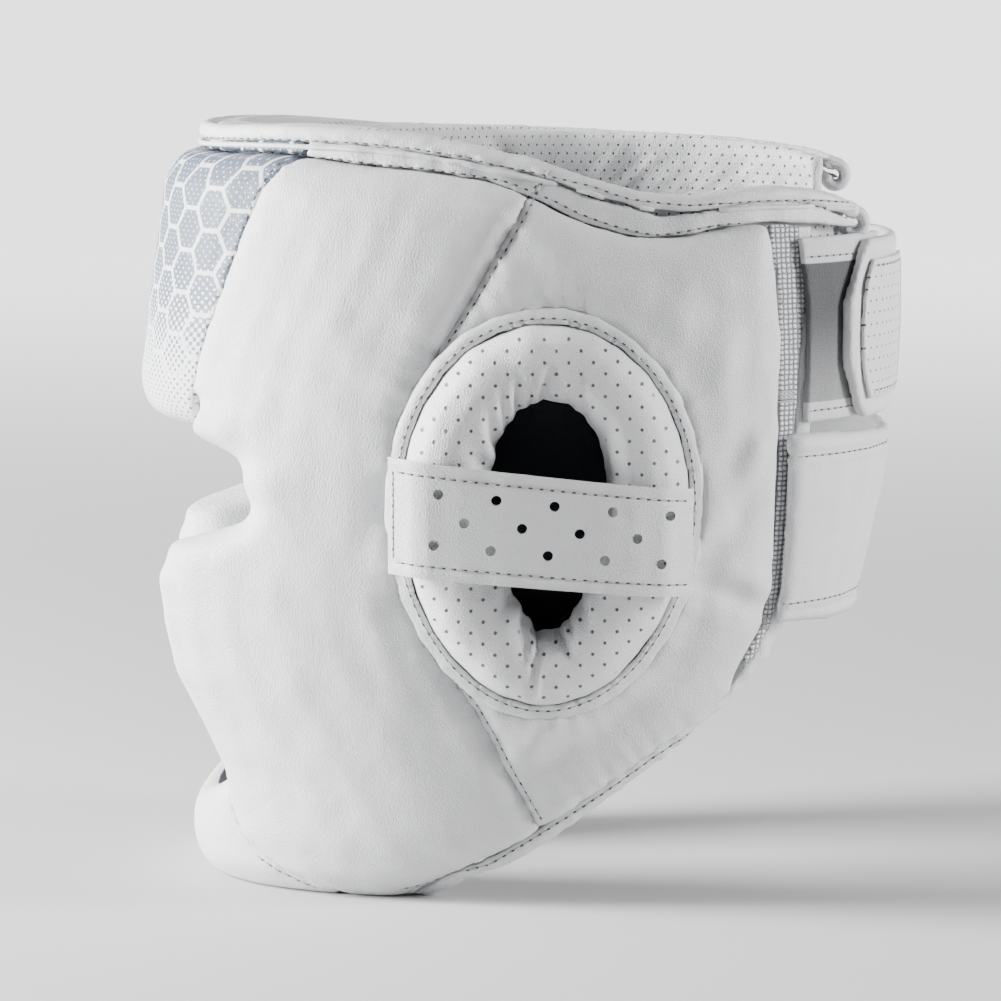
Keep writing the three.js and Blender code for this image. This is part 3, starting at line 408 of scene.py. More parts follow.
for name, side in SIDES.items():
    ring = soft(f"ear_ring_{name}", sized(1.5), sized(80))
    points = points_of(ring)
    share, turn = ring_share(points)
    outer = np.clip((np.abs(points[:, 0]) - RING_BASE_X) / 12, 0, 1)
    amount = 2.1 * gathers(share, turn) + 0.25 * ripple(turn * 40, 21, 17) * (1 - share)
    for seam_ends in RING_SEAMS:
        seam = np.interp(points[:, 2], RING_SEAM_Z, seam_ends)
        fade = (points[:, 2] < RING_SEAM_TOP) * smoothstep(share, 0.08, 0.2)
        amount -= 1.3 * bump(points[:, 1] - seam, 0, 1.2) * fade
    push(ring, amount * outer)
    keep(ring, f"ear_ring_{name}")
    flange = soft(f"ear_flange_{name}", sized(0.9), 6)
    points = points_of(flange)
    turn = np.arctan2((points[:, 2] - EAR[1]) / EAR[3], (points[:, 1] - EAR[0]) / EAR[2])
    push(flange, 0.1 * ripple(turn * 60, 31, 11) + 0.5)
    points = points_of(flange)
    ahead = np.stack([points[:, 1] - EAR[0], points[:, 2] - EAR[1]], 1)
    rim = np.hypot(ahead[:, 0] / EAR[2], ahead[:, 1] / EAR[3])
    grow = 1.5 * smoothstep(rim, 0.955, 0.985)
    points[:, 1:] += ahead / np.linalg.norm(ahead, axis=1)[:, None] * grow[:, None]
    set_points(flange, points)
    keep(flange, f"ear_flange_{name}")
    print("ear", name, len(ring.data.polygons), "ring faces")

# %% [markdown]
# ## The ear straps
# A flat leather band over the ear with fourteen punched holes. A remesh of the CAD strap would
# leave ragged holes. So a fine grid is laid over the strap's outer face and thickened, and the
# holes are cut with cylinders, which leaves them round and really open.

# %% Ear straps
# Rows of holes: first share along the strap, step, count, and share of the width off the middle
HOLE_ROWS = [(0.165, 0.1895, 5, 0.245), (0.25, 0.188, 4, 0.02), (0.15, 0.186, 5, -0.2)]
HOLE_RADIUS = 1.8
# The strap's front and rear ends: y, the height of its middle, and its width
STRAP_Y = (-46.0, 60.8)
STRAP_MID = (144.0, 133.5)
STRAP_WIDE = (41.0, 38.0)
STRAP_THICK = 2.2


def strap_spot(along, across):
    """y and z on the strap, along from 0 to 1 and across from -0.5 to 0.5."""
    y = STRAP_Y[0] + along * (STRAP_Y[1] - STRAP_Y[0])
    return y, np.interp(along, [0, 1], STRAP_MID) + across * np.interp(along, [0, 1], STRAP_WIDE)


def strap_height(name):
    """How far the strap's outer face lies from the middle plane, measured along y."""
    strap = points_of(nodes[f"ear_strap_{name}"])
    order = np.argsort(strap[:, 1])
    y, x = strap[order, 1], np.abs(strap[order, 0])
    grid = np.linspace(*STRAP_Y, 40)
    top = np.array([x[np.abs(y - g) < 7].max() for g in grid])
    ends = smoothstep(np.abs(grid - np.mean(STRAP_Y)), 49, 53.4)
    edge = np.interp(grid, [STRAP_Y[0], STRAP_Y[1]], [x[y < -45].max(), x[y > 60].max()])
    top = top * (1 - ends) + edge * ends
    return grid, np.convolve(np.pad(top, 2, "edge"), np.ones(5) / 5, "valid")


def ear_strap(name, side):
    grid_y, grid_x = strap_height(name)
    bpy.ops.object.select_all(action="DESELECT")
    bpy.ops.mesh.primitive_grid_add(x_subdivisions=107, y_subdivisions=40, size=2)
    strap = bpy.context.object
    strap.name = f"ear_strap_{name}_leather"
    flat = points_of(strap) * MM
    across = flat[:, 1] / 2
    y, z = strap_spot((flat[:, 0] + 1) / 2, across)
    x = np.interp(y, grid_y, grid_x)
    for edge in (0.5, -0.5):
        border = (edge - across) * math.copysign(1, edge) * 40
        x -= 0.35 * bump(border, 3.9, 0.7)
        x += 0.25 * bump(border, 2.0, 1.4)
    x += 0.12 * ripple(y, 41, 14) * bump(np.abs(across), 0.44, 0.1)
    set_points(strap, np.stack([side * x, y, z], 1))
    if side < 0:
        bpy.ops.object.mode_set(mode="EDIT")
        bpy.ops.mesh.select_all(action="SELECT")
        bpy.ops.mesh.flip_normals()
        bpy.ops.object.mode_set(mode="OBJECT")
    modify(strap, "SOLIDIFY", thickness=STRAP_THICK * MM, offset=-1)
    cutters = []
    for first, step, count, off in HOLE_ROWS:
        for i in range(count):
            y, z = strap_spot(first + step * i, off)
            bpy.ops.mesh.primitive_cylinder_add(
                vertices=20, radius=HOLE_RADIUS * MM, depth=0.05,
                location=(side * 0.112, y * MM, z * MM), rotation=(0, math.pi / 2, 0))
            cutters.append(bpy.context.object)
    bpy.ops.object.select_all(action="DESELECT")
    for cutter in cutters:
        cutter.select_set(True)
    bpy.context.view_layer.objects.active = cutters[0]
    bpy.ops.object.join()
    tool = bpy.context.object
    modify(strap, "BOOLEAN", operation="DIFFERENCE", object=tool, solver="EXACT")
    bpy.data.objects.remove(tool)
    return strap


for name, side in SIDES.items():
    strap = ear_strap(name, side)
    select(strap)
    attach(strap, "root")
    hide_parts(f"ear_strap_{name}")
    bpy.ops.object.shade_smooth_by_angle(angle=math.radians(40))
    made[strap.name] = strap
    print(strap.name, len(strap.data.polygons), "faces")

# %% [markdown]
# ## Bindings, collar and sweatband along the top
# The rim is bound with folded leather, with a stitched collar under it and a padded sweatband
# inside. These thin parts could keep their CAD faces with a bevel, but sewn leather is never
# that even. They are remeshed finely and relaxed a little, so that their folded edges stay
# crisp. The collars' top edge is raised under the binding, which leaves no gap between them.

# %% Top edge
TOP_PIECES = [("rim_binding", 1.3, 12), ("sweatband", 1.6, 30), ("sweatband_piping", 1.1, 8),
              ("collar_front", 1.0, 8), ("collar_left", 1.0, 8), ("collar_right", 1.0, 8)]
COLLAR_RISE = 1.8


def fine(node, voxel, rounds):
    return soft(node, voxel * sized(1), rounds)


for node, voxel, rounds in TOP_PIECES:
    piece = fine(node, voxel, rounds)
    points = points_of(piece)
    phi = polar(points)
    drop = rim_height(phi) - points[:, 2]
    if node == "rim_binding":
        push(piece, 0.22 * ripple(phi * 90, 51, 12) * smoothstep(drop, 2, 6))
    if node == "sweatband":
        crumple = 0.5 * ripple(phi * 80, 53, 26) + 0.25 * ripple(phi * 80 + points[:, 2], 55, 9)
        push(piece, crumple * smoothstep(drop, 5, 12))
    if node.startswith("collar"):
        points[:, 2] += COLLAR_RISE * (1 - smoothstep(drop, 7, 10.5))
        set_points(piece, points)
        push(piece, 0.2 * ripple(phi * 90, 57, 14))
    keep(piece, node)
    print(node, len(piece.data.polygons), "faces")

# %% [markdown]
# ## Lower bindings, rear flaps, webbing, wings and straps
# The back closes with a wide neck strap and a hook-and-loop strap on two fabric wings, and woven
# tape runs down each rear edge. They could be flat sheets with a thickness, but the CAD solids
# already hang and bend the right way, so they are softened in the same way as the top edge. The
# neck strap gets its two rolled edges from the distance to its own top and bottom.

# %% Rear and lower pieces
# Width of the neck strap's rolled edge, top and bottom
NECK_ROLLS = (7.6, 7.2)

for node, voxel, rounds in (("neck_strap", 1.6, 14), ("closure_strap", 1.1, 8),
                            ("closure_tab_pad", 0.8, 6)):
    piece = fine(node, voxel, rounds)
    points = points_of(piece)
    low, high = points[:, 2].min(), points[:, 2].max()
    amount = np.zeros(len(points))
    if node == "neck_strap":
        for edge, width in zip((high, low), NECK_ROLLS):
            gap = np.abs(points[:, 2] - edge)
            amount += 0.9 * bump(gap, width * 0.5, width * 0.42) - 0.8 * bump(gap, width, 0.9)
            amount += 0.5 * bump(gap, width + 1.8, 0.9)
        amount += 0.3 * ripple(points[:, 0], 61, 22) * bump(points[:, 2], low, 22)
    if node == "closure_strap":
        edge = np.minimum(high - points[:, 2], points[:, 2] - low)
        edge = np.minimum(edge, points[:, 0].max() - points[:, 0])
        amount += 0.7 * bump(edge, 3.2, 2.4)
    push(piece, amount)
    keep(piece, node)

for name in SIDES:
    for node, voxel, rounds in ((f"lower_binding_{name}", 1.3, 10), (f"rear_flap_{name}", 1.1, 6),
                                (f"webbing_{name}", 0.8, 4), (f"wing_{name}", 1.1, 6)):
        piece = fine(node, voxel, rounds)
        if "binding" in node:
            points = points_of(piece)
            push(piece, 0.25 * ripple(points[:, 1] + 0.7 * points[:, 2], 63, 10))
        keep(piece, node)
print("pieces so far:", len(made))

# %% [markdown]
# ## Lining and ear mesh
# Thin dark cloth on the inside and behind the ear holes. It is seen only through the openings,
# so it isn't remeshed: its CAD faces are split into smaller ones and relaxed.

# %% Lining and ear mesh
LININGS = ("lining_front", "lining_left", "lining_right")

for node in LININGS + ("ear_mesh_left", "ear_mesh_right"):
    piece = copy_of(node)
    modify(piece, "SUBSURF", subdivision_type="SIMPLE", levels=1 if "ear" in node else 2)
    relax(piece, 4 if "ear" in node else 20)
    keep(piece, node)
print("pieces with linings:", len(made))

# %% [markdown]
# ## Marks for the materials
# Each piece carries an attribute `wrap`: the distance round the head and the height in
# millimetres, and how far a point faces inward. Prints and perforations are drawn in these
# coordinates, so that they follow the surface. A UV unwrap would do it too, but would need a
# seam across the print. The third value turns the leather dark on the cushions' inner side.
# On the chin bar it is averaged over neighbours, which gives a smooth edge between the two.

# %% Wrap coordinates
WRAP_RADIUS = 118
EDGE_BLUR_ROUNDS = 24


def set_wrap(obj, u, v, w):
    attribute = obj.data.attributes.new("wrap", "FLOAT_VECTOR", "POINT")
    attribute.data.foreach_set("vector", np.stack([u, v, w], 1).astype(np.float32).ravel())


lining = tree_of([nodes[n] for n in LININGS])
for obj in made.values():
    points = points_of(obj)
    inward = np.zeros(len(points))
    base = obj.name.replace("soft_", "")
    if "ear_ring" in base:
        inward = 1 - np.abs(normals_of(obj)[:, 0])
    if base in CUSHIONS:
        inward = 1 - outward(points, obj)
        if base == "chin_bar":
            mean = neighbour_mean(obj)
            for _ in range(EDGE_BLUR_ROUNDS):
                inward = mean(inward)
            inward = smoothstep(inward, 0.3, 0.9)
        else:
            near_lining = smoothstep(14 - distance_to(points, lining), -6, 6)
            inward = near_lining * smoothstep(inward, 0.5, 1)
    set_wrap(obj, polar(points) * WRAP_RADIUS, points[:, 2], inward)
for node in CUSHIONS:
    keep(made["soft_" + node], node)
print("wrap coordinates on", len(made), "pieces")

# %% [markdown]
# ## Stitches
# A stitch is a short capsule of thread, and the needle leaves a dark hole at its end. Both could
# be painted by a bump, but thread that stands up catches the light, so it is modelled. Rows
# follow lines laid on the finished surfaces by rays, and each stitch is sunk half its thickness
# into the leather. One stitch has only a few faces, because there are hundreds of them.

# %% Stitch tools
everything = tree_of(list(made.values()))
# Rays start this far out, in metres. Those round the head stop before they reach its axis, so
# that a ray through an opening finds nothing.
SIDE_RAY_START = 0.2
HEAD_RAY_START = 0.3
HEAD_RAY_LENGTH = 0.28


def cast(rays, tree, length, lift=0.0):
    """The spots in mm and the normals where rays, each a start and a direction, meet the tree."""
    spots, normals = [], []
    for start, ahead in rays:
        hit, normal, _, _ = tree.ray_cast(start, ahead, length)
        if hit is not None:
            spots.append(np.array(hit) / MM + np.array(normal) * lift)
            normals.append(np.array(normal))
    return np.array(spots), np.array(normals)


def on_side(line, side, tree=everything):
    """A line in side view, laid on the left or the right side."""
    starts = [Vector((side * SIDE_RAY_START, y * MM, z * MM)) for y, z in line]
    return cast([(start, Vector((-side, 0, 0))) for start in starts], tree, 2 * SIDE_RAY_START)


def round_head(phis, heights, tree, lift=0.0):
    """A line of angles and heights, laid on a surface that runs round the head."""
    rays = []
    for phi, z in zip(phis, heights):
        out = Vector((math.sin(phi), -math.cos(phi), 0))
        rays.append((Vector((0, CENTRE_Y * MM, z * MM)) + out * HEAD_RAY_START, -out))
    return cast(rays, tree, HEAD_RAY_LENGTH, lift)


def runs(rows, widest=5.0):
    """The rows, cut wherever two neighbouring spots are far apart."""
    for spots, normals in rows:
        if len(spots) < 2:
            continue
        breaks = np.nonzero(np.linalg.norm(np.diff(spots, axis=0), axis=1) > widest)[0] + 1
        for part, part_normals in zip(np.split(spots, breaks), np.split(normals, breaks)):
            if len(part) > 3:
                yield part, part_normals


# The rings of a stitch: place along its half length, and share of its full thickness
RINGS = ((-1.0, 0.3), (-0.62, 0.92), (0.62, 0.92), (1.0, 0.3))
SIDES_OF_THREAD = 6


def stitch_mesh(name, rows, length=2.4, width=0.8, height=0.6, pitch=3.8, phase=0.5):
    """Stitches at an even pitch along rows of spots and normals, all in one mesh."""
    vertices, faces = [], []
    n = SIDES_OF_THREAD
    for spots, normals in runs(rows):
        lengths = np.r_[0, np.cumsum(np.linalg.norm(np.diff(spots, axis=0), axis=1))]

        def at_length(at, columns):
            return np.array([np.interp(at, lengths, columns[:, k]) for k in range(3)])

        for at in np.arange(pitch * phase, lengths[-1], pitch):
            centre = at_length(at, spots)
            along = at_length(at + 1.5, spots) - at_length(at - 1.5, spots)
            along /= max(np.linalg.norm(along), 1e-6)
            up = at_length(at, normals)
            up -= along * up.dot(along)
            up /= max(np.linalg.norm(up), 1e-6)
            over = np.cross(up, along)
            start = len(vertices)
            for t, r in RINGS:
                for k in range(n):
                    turn = 2 * math.pi * k / n
                    spot = centre + along * t * length / 2
                    spot = spot + over * r * math.cos(turn) * width / 2
                    vertices.append((spot + up * r * math.sin(turn) * height / 2) * MM)
            for i in range(len(RINGS) - 1):
                for k in range(n):
                    a, b = start + i * n + k, start + i * n + (k + 1) % n
                    faces.append((a, b, b + n, a + n))
            faces.append(tuple(start + k for k in reversed(range(n))))
            last = start + (len(RINGS) - 1) * n
            faces.append(tuple(last + k for k in range(n)))
    mesh = bpy.data.meshes.new(name)
    mesh.from_pydata([tuple(v) for v in vertices], [], faces)
    mesh.update()
    obj = bpy.data.objects.new(name, mesh)
    bpy.context.scene.collection.objects.link(obj)
    select(obj)
    bpy.ops.object.mode_set(mode="EDIT")
    bpy.ops.mesh.select_all(action="SELECT")
    bpy.ops.mesh.normals_make_consistent(inside=False)
    bpy.ops.object.mode_set(mode="OBJECT")
    bpy.ops.object.shade_smooth()
    return obj


def offset(line, amount):
    """A line in side view moved to its left by amount."""
    line = np.asarray(line, float)
    ahead = np.gradient(line, axis=0)
    ahead /= np.linalg.norm(ahead, axis=1)[:, None]
    return line + np.stack([-ahead[:, 1], ahead[:, 0]], 1) * amount


# %% [markdown]
# ## Where the stitches run
# The real guard shows one row beside each seam, round each ear flange, along the straps, and
# round the rim, the collar and the rear straps. The rows could be drawn by hand, but each one
# follows a seam line or an edge at a set distance, so it is worked out from there.

# %% Stitch rows on the sides
# The main seam is topstitched above the ear and below it, between these heights
STITCHED_ABOVE = 202
STITCHED_BELOW = (30, 86)
# Shares of the strap's width where its two long rows run, and how far its front row is set in
STRAP_ROWS = (0.385, -0.39)
STRAP_END_INSET = 1.8

rows = []
for name, side in SIDES.items():
    seam = resample(MAIN_SEAM, 1.5)
    height = seam[:, 1]
    low, high = STITCHED_BELOW
    for part in (seam[height > STITCHED_ABOVE], seam[(height < high) & (height > low)]):
        rows.append(on_side(offset(part, 1.9), side))
    rows.append(on_side(offset(resample(LOWER_SEAM, 1.5), -1.6), side))
    rows.append(on_side(ear_line(-2.3), side, tree_of([made[f"soft_ear_flange_{name}"]])))
    strap_tree = tree_of([made[f"ear_strap_{name}_leather"]])
    for across in STRAP_ROWS:
        line = np.stack(strap_spot(np.linspace(0.02, 0.985, 90), across), 1)
        rows.append(on_side(line, side, strap_tree))
    front = STRAP_MID[0] + np.linspace(-0.38, 0.38, 40) * STRAP_WIDE[0]
    line = np.stack([np.full(40, STRAP_Y[0] + STRAP_END_INSET), front], 1)
    rows.append(on_side(line, side, strap_tree))
print(len(rows), "rows on the sides")

# %% Stitch rows round the rim, the collar and the wings
# How far below the rim's top its row of stitches runs
RIM_ROW_DROP = 5.6
# The collar's upright seam in side view, and where the rows on each wing run
COLLAR_SEAM = [(7.4, 260.0), (2.4, 252.4)]
WING_LEVELS = (231.0, 176.3)
WING_Y = np.arange(99, 130, 1.5)

phis = np.linspace(RIM_PHI.min() + 0.05, RIM_PHI.max() - 0.05, 400)
collars = [made["soft_collar_front"], made["soft_collar_left"], made["soft_collar_right"]]
top_tree = tree_of([made["soft_rim_binding"]] + collars)
rows.append(round_head(phis, rim_height(phis) - RIM_ROW_DROP, top_tree))
collar_tree = tree_of(collars)
for name, side in SIDES.items():
    pads = [points_of(made[f"soft_{part}_pad_{name}"]) for part in ("cheek", "side")]
    pads = np.concatenate(pads)
    pads = pads[np.abs(polar(pads)) > 0.6]
    grid, top = top_line(pads, 0.06)
    near = np.linspace(0.75, 2.42, 260) * side
    rows.append(round_head(near, np.interp(near, grid, top) + 0.7, collar_tree))
    rows.append(on_side(resample(CHIN_STITCHES, 1.5), side))
    rows.append(on_side(resample(COLLAR_SEAM, 0.8), side, collar_tree))
    wing_tree = tree_of([made[f"soft_wing_{name}"]])
    for level in WING_LEVELS:
        rows.append(on_side([(y, level) for y in WING_Y], side, wing_tree))
print(len(rows), "rows with the top and the wings")

# %% Stitch rows on the rear straps
# How far the rows lie inside the edges of the neck strap (top, bottom) and of the closure tab
NECK_ROW_INSETS = (8.3, 10.5)
TAB_ROW_INSET = 2.6
# The angles round the head between which the neck strap's rows run
NECK_SPAN = (2.45, 3.83)

neck_tree = tree_of([made["soft_neck_strap"]])
phis = np.linspace(*NECK_SPAN, 120)
neck = points_of(made["soft_neck_strap"])[:, 2]
for level in (neck.max() - NECK_ROW_INSETS[0], neck.min() + NECK_ROW_INSETS[1]):
    rows.append(round_head(phis, np.full(120, level), neck_tree))
tab = points_of(made["soft_closure_tab_pad"])
tab_tree = tree_of([made["soft_closure_tab_pad"]])
tab_phi = polar(tab)
low, high = tab[:, 2].min(), tab[:, 2].max()
across = np.linspace(tab_phi.min() + 0.05, tab_phi.max() - 0.03, 40)
for level in (high - TAB_ROW_INSET, low + TAB_ROW_INSET):
    rows.append(round_head(across, np.full(40, level), tab_tree))
tab_end = np.full(40, tab_phi.max() - 0.035)
rows.append(round_head(tab_end, np.linspace(low + 3, high - 3, 40), tab_tree))
stitches = stitch_mesh("stitches", rows)
keep(stitches)
print("stitches", len(stitches.data.polygons), "faces")

# %% [markdown]
# ## Bar tacks and needle holes
# The woven tape is held by tight zigzag bars of thread, where short stitches stand close
# together in a few rows. Needle holes are dark capsules, half a pitch on from the stitches, and
# their dark is painted shade, for the shadow in each hole. They lie along every row, and along
# the edge of the print, where no thread shows.

# %% Bar tacks and needle marks
TACK_LEVELS = (183.6, 182.4, 181.2, 180.0, 101.5, 99.9, 98.3)
TACK_Y = np.arange(84, 103, 1.0)

tack_rows = []
for name, side in SIDES.items():
    webbing = tree_of([made[f"soft_webbing_{name}"], made[f"soft_rear_flap_{name}"]])
    for level in TACK_LEVELS:
        tack_rows.append(on_side([(y, level) for y in TACK_Y], side, webbing))
keep(stitch_mesh("bar_tacks", tack_rows, length=2.0, width=0.9, height=0.8, pitch=1.6))
for name, side in SIDES.items():
    rows.append(on_side(resample(PRINT_SEAM, 1.5), side))
# Painted shade: the needle holes are dark capsules that stand for the shadow in each hole.
marks = stitch_mesh("needle_marks", rows, length=1.5, width=0.75, height=0.5, phase=1.0)
keep(marks)
print("needle marks", len(marks.data.polygons), "faces")

# %% [markdown]
# ## Cords along the top
# A thin welt runs under the collar's stitches, and the bound edge curls over at both ends of the
# rim. Each is a round cord. A bevelled curve gives one with an even thickness, so a curve is
# laid along the points and made a mesh.

# %% Welt and rim curls
# How far below the rim's top the welt lies, and the two cords' radii
WELT_DROP = 7.9
WELT_RADIUS = 0.95
CURL_RADIUS = 2.3
# A curl winds inwards between these turns, in radians, from the first reach to the second
CURL_TURNS = (-0.6, 5.2)
CURL_REACH = (5.4, 2.2)
CURL_DROP = 5.0


def cord(name, spots, radius):
    """A round cord laid along points in mm, made as a bevelled curve."""
    curve = bpy.data.curves.new(name, "CURVE")
    curve.dimensions = "3D"
    curve.bevel_depth = radius * MM
    curve.bevel_resolution = 2
    curve.use_fill_caps = True
    line = curve.splines.new("POLY")
    line.points.add(len(spots) - 1)
    for point, spot in zip(line.points, spots):
        point.co = (*(np.array(spot) * MM), 1)
    obj = bpy.data.objects.new(name, curve)
    bpy.context.scene.collection.objects.link(obj)
    select(obj)
    bpy.ops.object.convert(target="MESH")
    return bpy.context.object


phis = np.linspace(RIM_PHI.min() + 0.04, RIM_PHI.max() - 0.04, 360)
welt_line = round_head(phis, rim_height(phis) - WELT_DROP, top_tree, lift=0.1)
for i, (spots, _) in enumerate(runs([welt_line])):
    keep(cord(f"collar_welt_{i}", spots, WELT_RADIUS))

rim = points_of(made["soft_rim_binding"])
for name, side in SIDES.items():
    angle = polar(rim)
    end = rim[angle > angle.max() - 0.02] if side > 0 else rim[angle < angle.min() + 0.02]
    tip = end.mean(axis=0)
    curl = []
    for turn in np.linspace(*CURL_TURNS, 30):
        reach = np.interp(turn, CURL_TURNS, CURL_REACH)
        up = reach * math.cos(turn) - CURL_DROP
        curl.append(tip + np.array([0.0, reach * math.sin(turn), up]))
    keep(cord(f"rim_curl_{name}", curl, CURL_RADIUS))
    print("rim curl", name, "at", tip.round(1))

# %% [markdown]
# ## Materials
# White leather with a fine grain, a printed front, woven tape, loop fabric and dark cloth.
# Pictures of them would need files, so every finish is procedural. `Graph` is a short way to
# write a shader as sums and products, which keeps each pattern readable as a formula.

# %% Shader tools
class Graph:
    def __init__(self, name):
        self.material = bpy.data.materials.new(name)
        self.material.use_nodes = True
        self.tree = self.material.node_tree
        self.shader = self.tree.nodes["Principled BSDF"]

    def node(self, kind, **inputs):
        made_node = self.tree.nodes.new(kind)
        for key, value in inputs.items():
            self.feed(made_node.inputs[key.replace("_", " ")], value)
        return made_node

    def feed(self, socket, value):
        if isinstance(value, bpy.types.NodeSocket):
            self.tree.links.new(value, socket)
        else:
            socket.default_value = value

    def math(self, operation, *values):
        made_node = self.tree.nodes.new("ShaderNodeMath")
        made_node.operation = operation
        for i, value in enumerate(values):
            self.feed(made_node.inputs[i], value)
        return made_node.outputs[0]

    def step(self, value, low, high):
        made_node = self.node("ShaderNodeMapRange")
        made_node.interpolation_type = "SMOOTHSTEP"
        self.feed(made_node.inputs["Value"], value)
        self.feed(made_node.inputs["From Min"], low)
        self.feed(made_node.inputs["From Max"], high)
        return made_node.outputs["Result"]

    def mix(self, share, a, b):
        made_node = self.tree.nodes.new("ShaderNodeMix")
        made_node.data_type = "RGBA"
        self.feed(made_node.inputs[0], share)
        self.feed(made_node.inputs[6], a)
        self.feed(made_node.inputs[7], b)
        return made_node.outputs[2]

    def object_mm(self):
        coords = self.node("ShaderNodeTexCoord").outputs["Object"]
        scaled = self.node("ShaderNodeVectorMath")
        scaled.operation = "SCALE"
        self.feed(scaled.inputs[0], coords)
        self.feed(scaled.inputs["Scale"], 1000.0)
        return scaled.outputs[0]

    def parts(self, vector):
        split = self.node("ShaderNodeSeparateXYZ", Vector=vector)
        return split.outputs

    def wrap(self):
        attribute = self.tree.nodes.new("ShaderNodeAttribute")
        attribute.attribute_name = "wrap"
        return self.parts(attribute.outputs["Vector"])

    def cell(self, value, pitch, shift=0.0):
        """Distance along one axis from the middle of the nearest cell, signed."""
        place = self.math("FRACT", self.math("ADD", self.math("DIVIDE", value, pitch), shift))
        return self.math("MULTIPLY", self.math("SUBTRACT", place, 0.5), pitch)

    def finish(self, colour, roughness, height):
        """Height is in millimetres."""
        self.feed(self.shader.inputs["Base Color"], colour)
        self.feed(self.shader.inputs["Roughness"], roughness)
        relief = self.node("ShaderNodeBump", Height=height, Strength=1.0, Distance=MM)
        self.feed(self.shader.inputs["Normal"], relief.outputs["Normal"])
        return self.material


WHITE = (0.68, 0.685, 0.70, 1)
SHADED_WHITE = (0.63, 0.635, 0.65, 1)
DARK = (0.010, 0.012, 0.018, 1)
LEATHER_ROUGHNESS = 0.42

# %% [markdown]
# ## Leather
# The real leather is smooth, matt and slightly pebbled, and soft hollows make its grey uneven.
# A Voronoi pattern gives the pebbles and two noises break them up. The ring, the sweatband and
# the closure tab have small punched holes, drawn as dark dots that are also pressed in. The
# dots' dark is painted shade, for the shadow inside each hole.

# %% Leather
def grain(g, coords):
    """Leather grain in mm of height: fine pebbles, broken up by a slower noise."""
    pebble = g.node("ShaderNodeTexVoronoi", Vector=coords, Scale=0.95)
    pebble.feature = "DISTANCE_TO_EDGE"
    fine_noise = g.node("ShaderNodeTexNoise", Vector=coords, Scale=1.6, Detail=3.0)
    slow = g.node("ShaderNodeTexNoise", Vector=coords, Scale=0.045, Detail=2.0)
    height = g.math("MULTIPLY", g.step(pebble.outputs["Distance"], 0.0, 0.22), 0.10)
    height = g.math("MULTIPLY_ADD", fine_noise.outputs[0], 0.10, height)
    return g.math("MULTIPLY_ADD", slow.outputs[0], 1.3, height)


def perforation(g, u, v, pitch_u, pitch_v, size):
    """1 in round punched dots of a staggered lattice, else 0. Each dot is size across."""
    out = None
    for shift in (0.0, 0.5):
        du, dv = g.cell(u, pitch_u, shift), g.cell(v, pitch_v, shift)
        squares = g.math("ADD", g.math("MULTIPLY", du, du), g.math("MULTIPLY", dv, dv))
        dot = g.math("SUBTRACT", 1.0, g.step(g.math("SQRT", squares), size * 0.32, size * 0.62))
        out = dot if out is None else g.math("MAXIMUM", out, dot)
    return out


def white_leather(name="white_leather", holes=None):
    """Holes are (which coordinates, pitch across, pitch up, hole size), or None."""
    g = Graph(name)
    coords = g.object_mm()
    height = grain(g, coords)
    u, v, inward = g.wrap()
    tint = g.node("ShaderNodeTexNoise", Vector=coords, Scale=0.02, Detail=2.0)
    colour = g.mix(g.math("MULTIPLY", tint.outputs[0], 0.35), WHITE, SHADED_WHITE)
    if holes:
        if holes[0] == "side":
            _, u, v = g.parts(coords)
        pits = perforation(g, u, v, *holes[1:])
        if holes[0] == "side":
            pits = g.math("MULTIPLY", pits, g.math("SUBTRACT", 1.0, g.step(inward, 0.4, 0.6)))
        # Painted shade: the punched holes are coloured near black for the shadow inside them.
        colour = g.mix(g.math("MULTIPLY", pits, 0.95), colour, (0.05, 0.05, 0.055, 1))
        height = g.math("MULTIPLY_ADD", pits, -0.5, height)
    if name != "ring_leather":
        colour = g.mix(g.step(inward, 0.45, 0.6), colour, DARK)
    return g.finish(colour, LEATHER_ROUGHNESS, height)


leather = white_leather()
ring_leather = white_leather("ring_leather", ("side", 8.5, 7.9, 1.3))
band_leather = white_leather("band_leather", ("wrap", 4.7, 6.5, 1.0))
tab_leather = white_leather("tab_leather", ("wrap", 3.6, 8.4, 0.8))
print("plain and punched leather made")

# %% [markdown]
# ## Printed leather
# The forehead and the front collar carry a blue-grey print of six-sided cells, which breaks up
# into dots towards the lower edge. An image would need a file, so the cells come from the
# distance to the nearest cell's middle, and the dots from two crossed waves.

# %% Printed leather
CELL_HEIGHT = 15.0
CELL_WIDTH = CELL_HEIGHT * math.sqrt(3)
DOT_PITCH = (3.6, 3.3)


def dots(g, u, v, pitch_u, pitch_v):
    """A staggered lattice: about 1 on its dots, -1 between them."""
    a = g.math("COSINE", g.math("MULTIPLY", u, 2 * math.pi / pitch_u))
    b = g.math("COSINE", g.math("MULTIPLY", v, 2 * math.pi / pitch_v))
    return g.math("MULTIPLY", a, b)


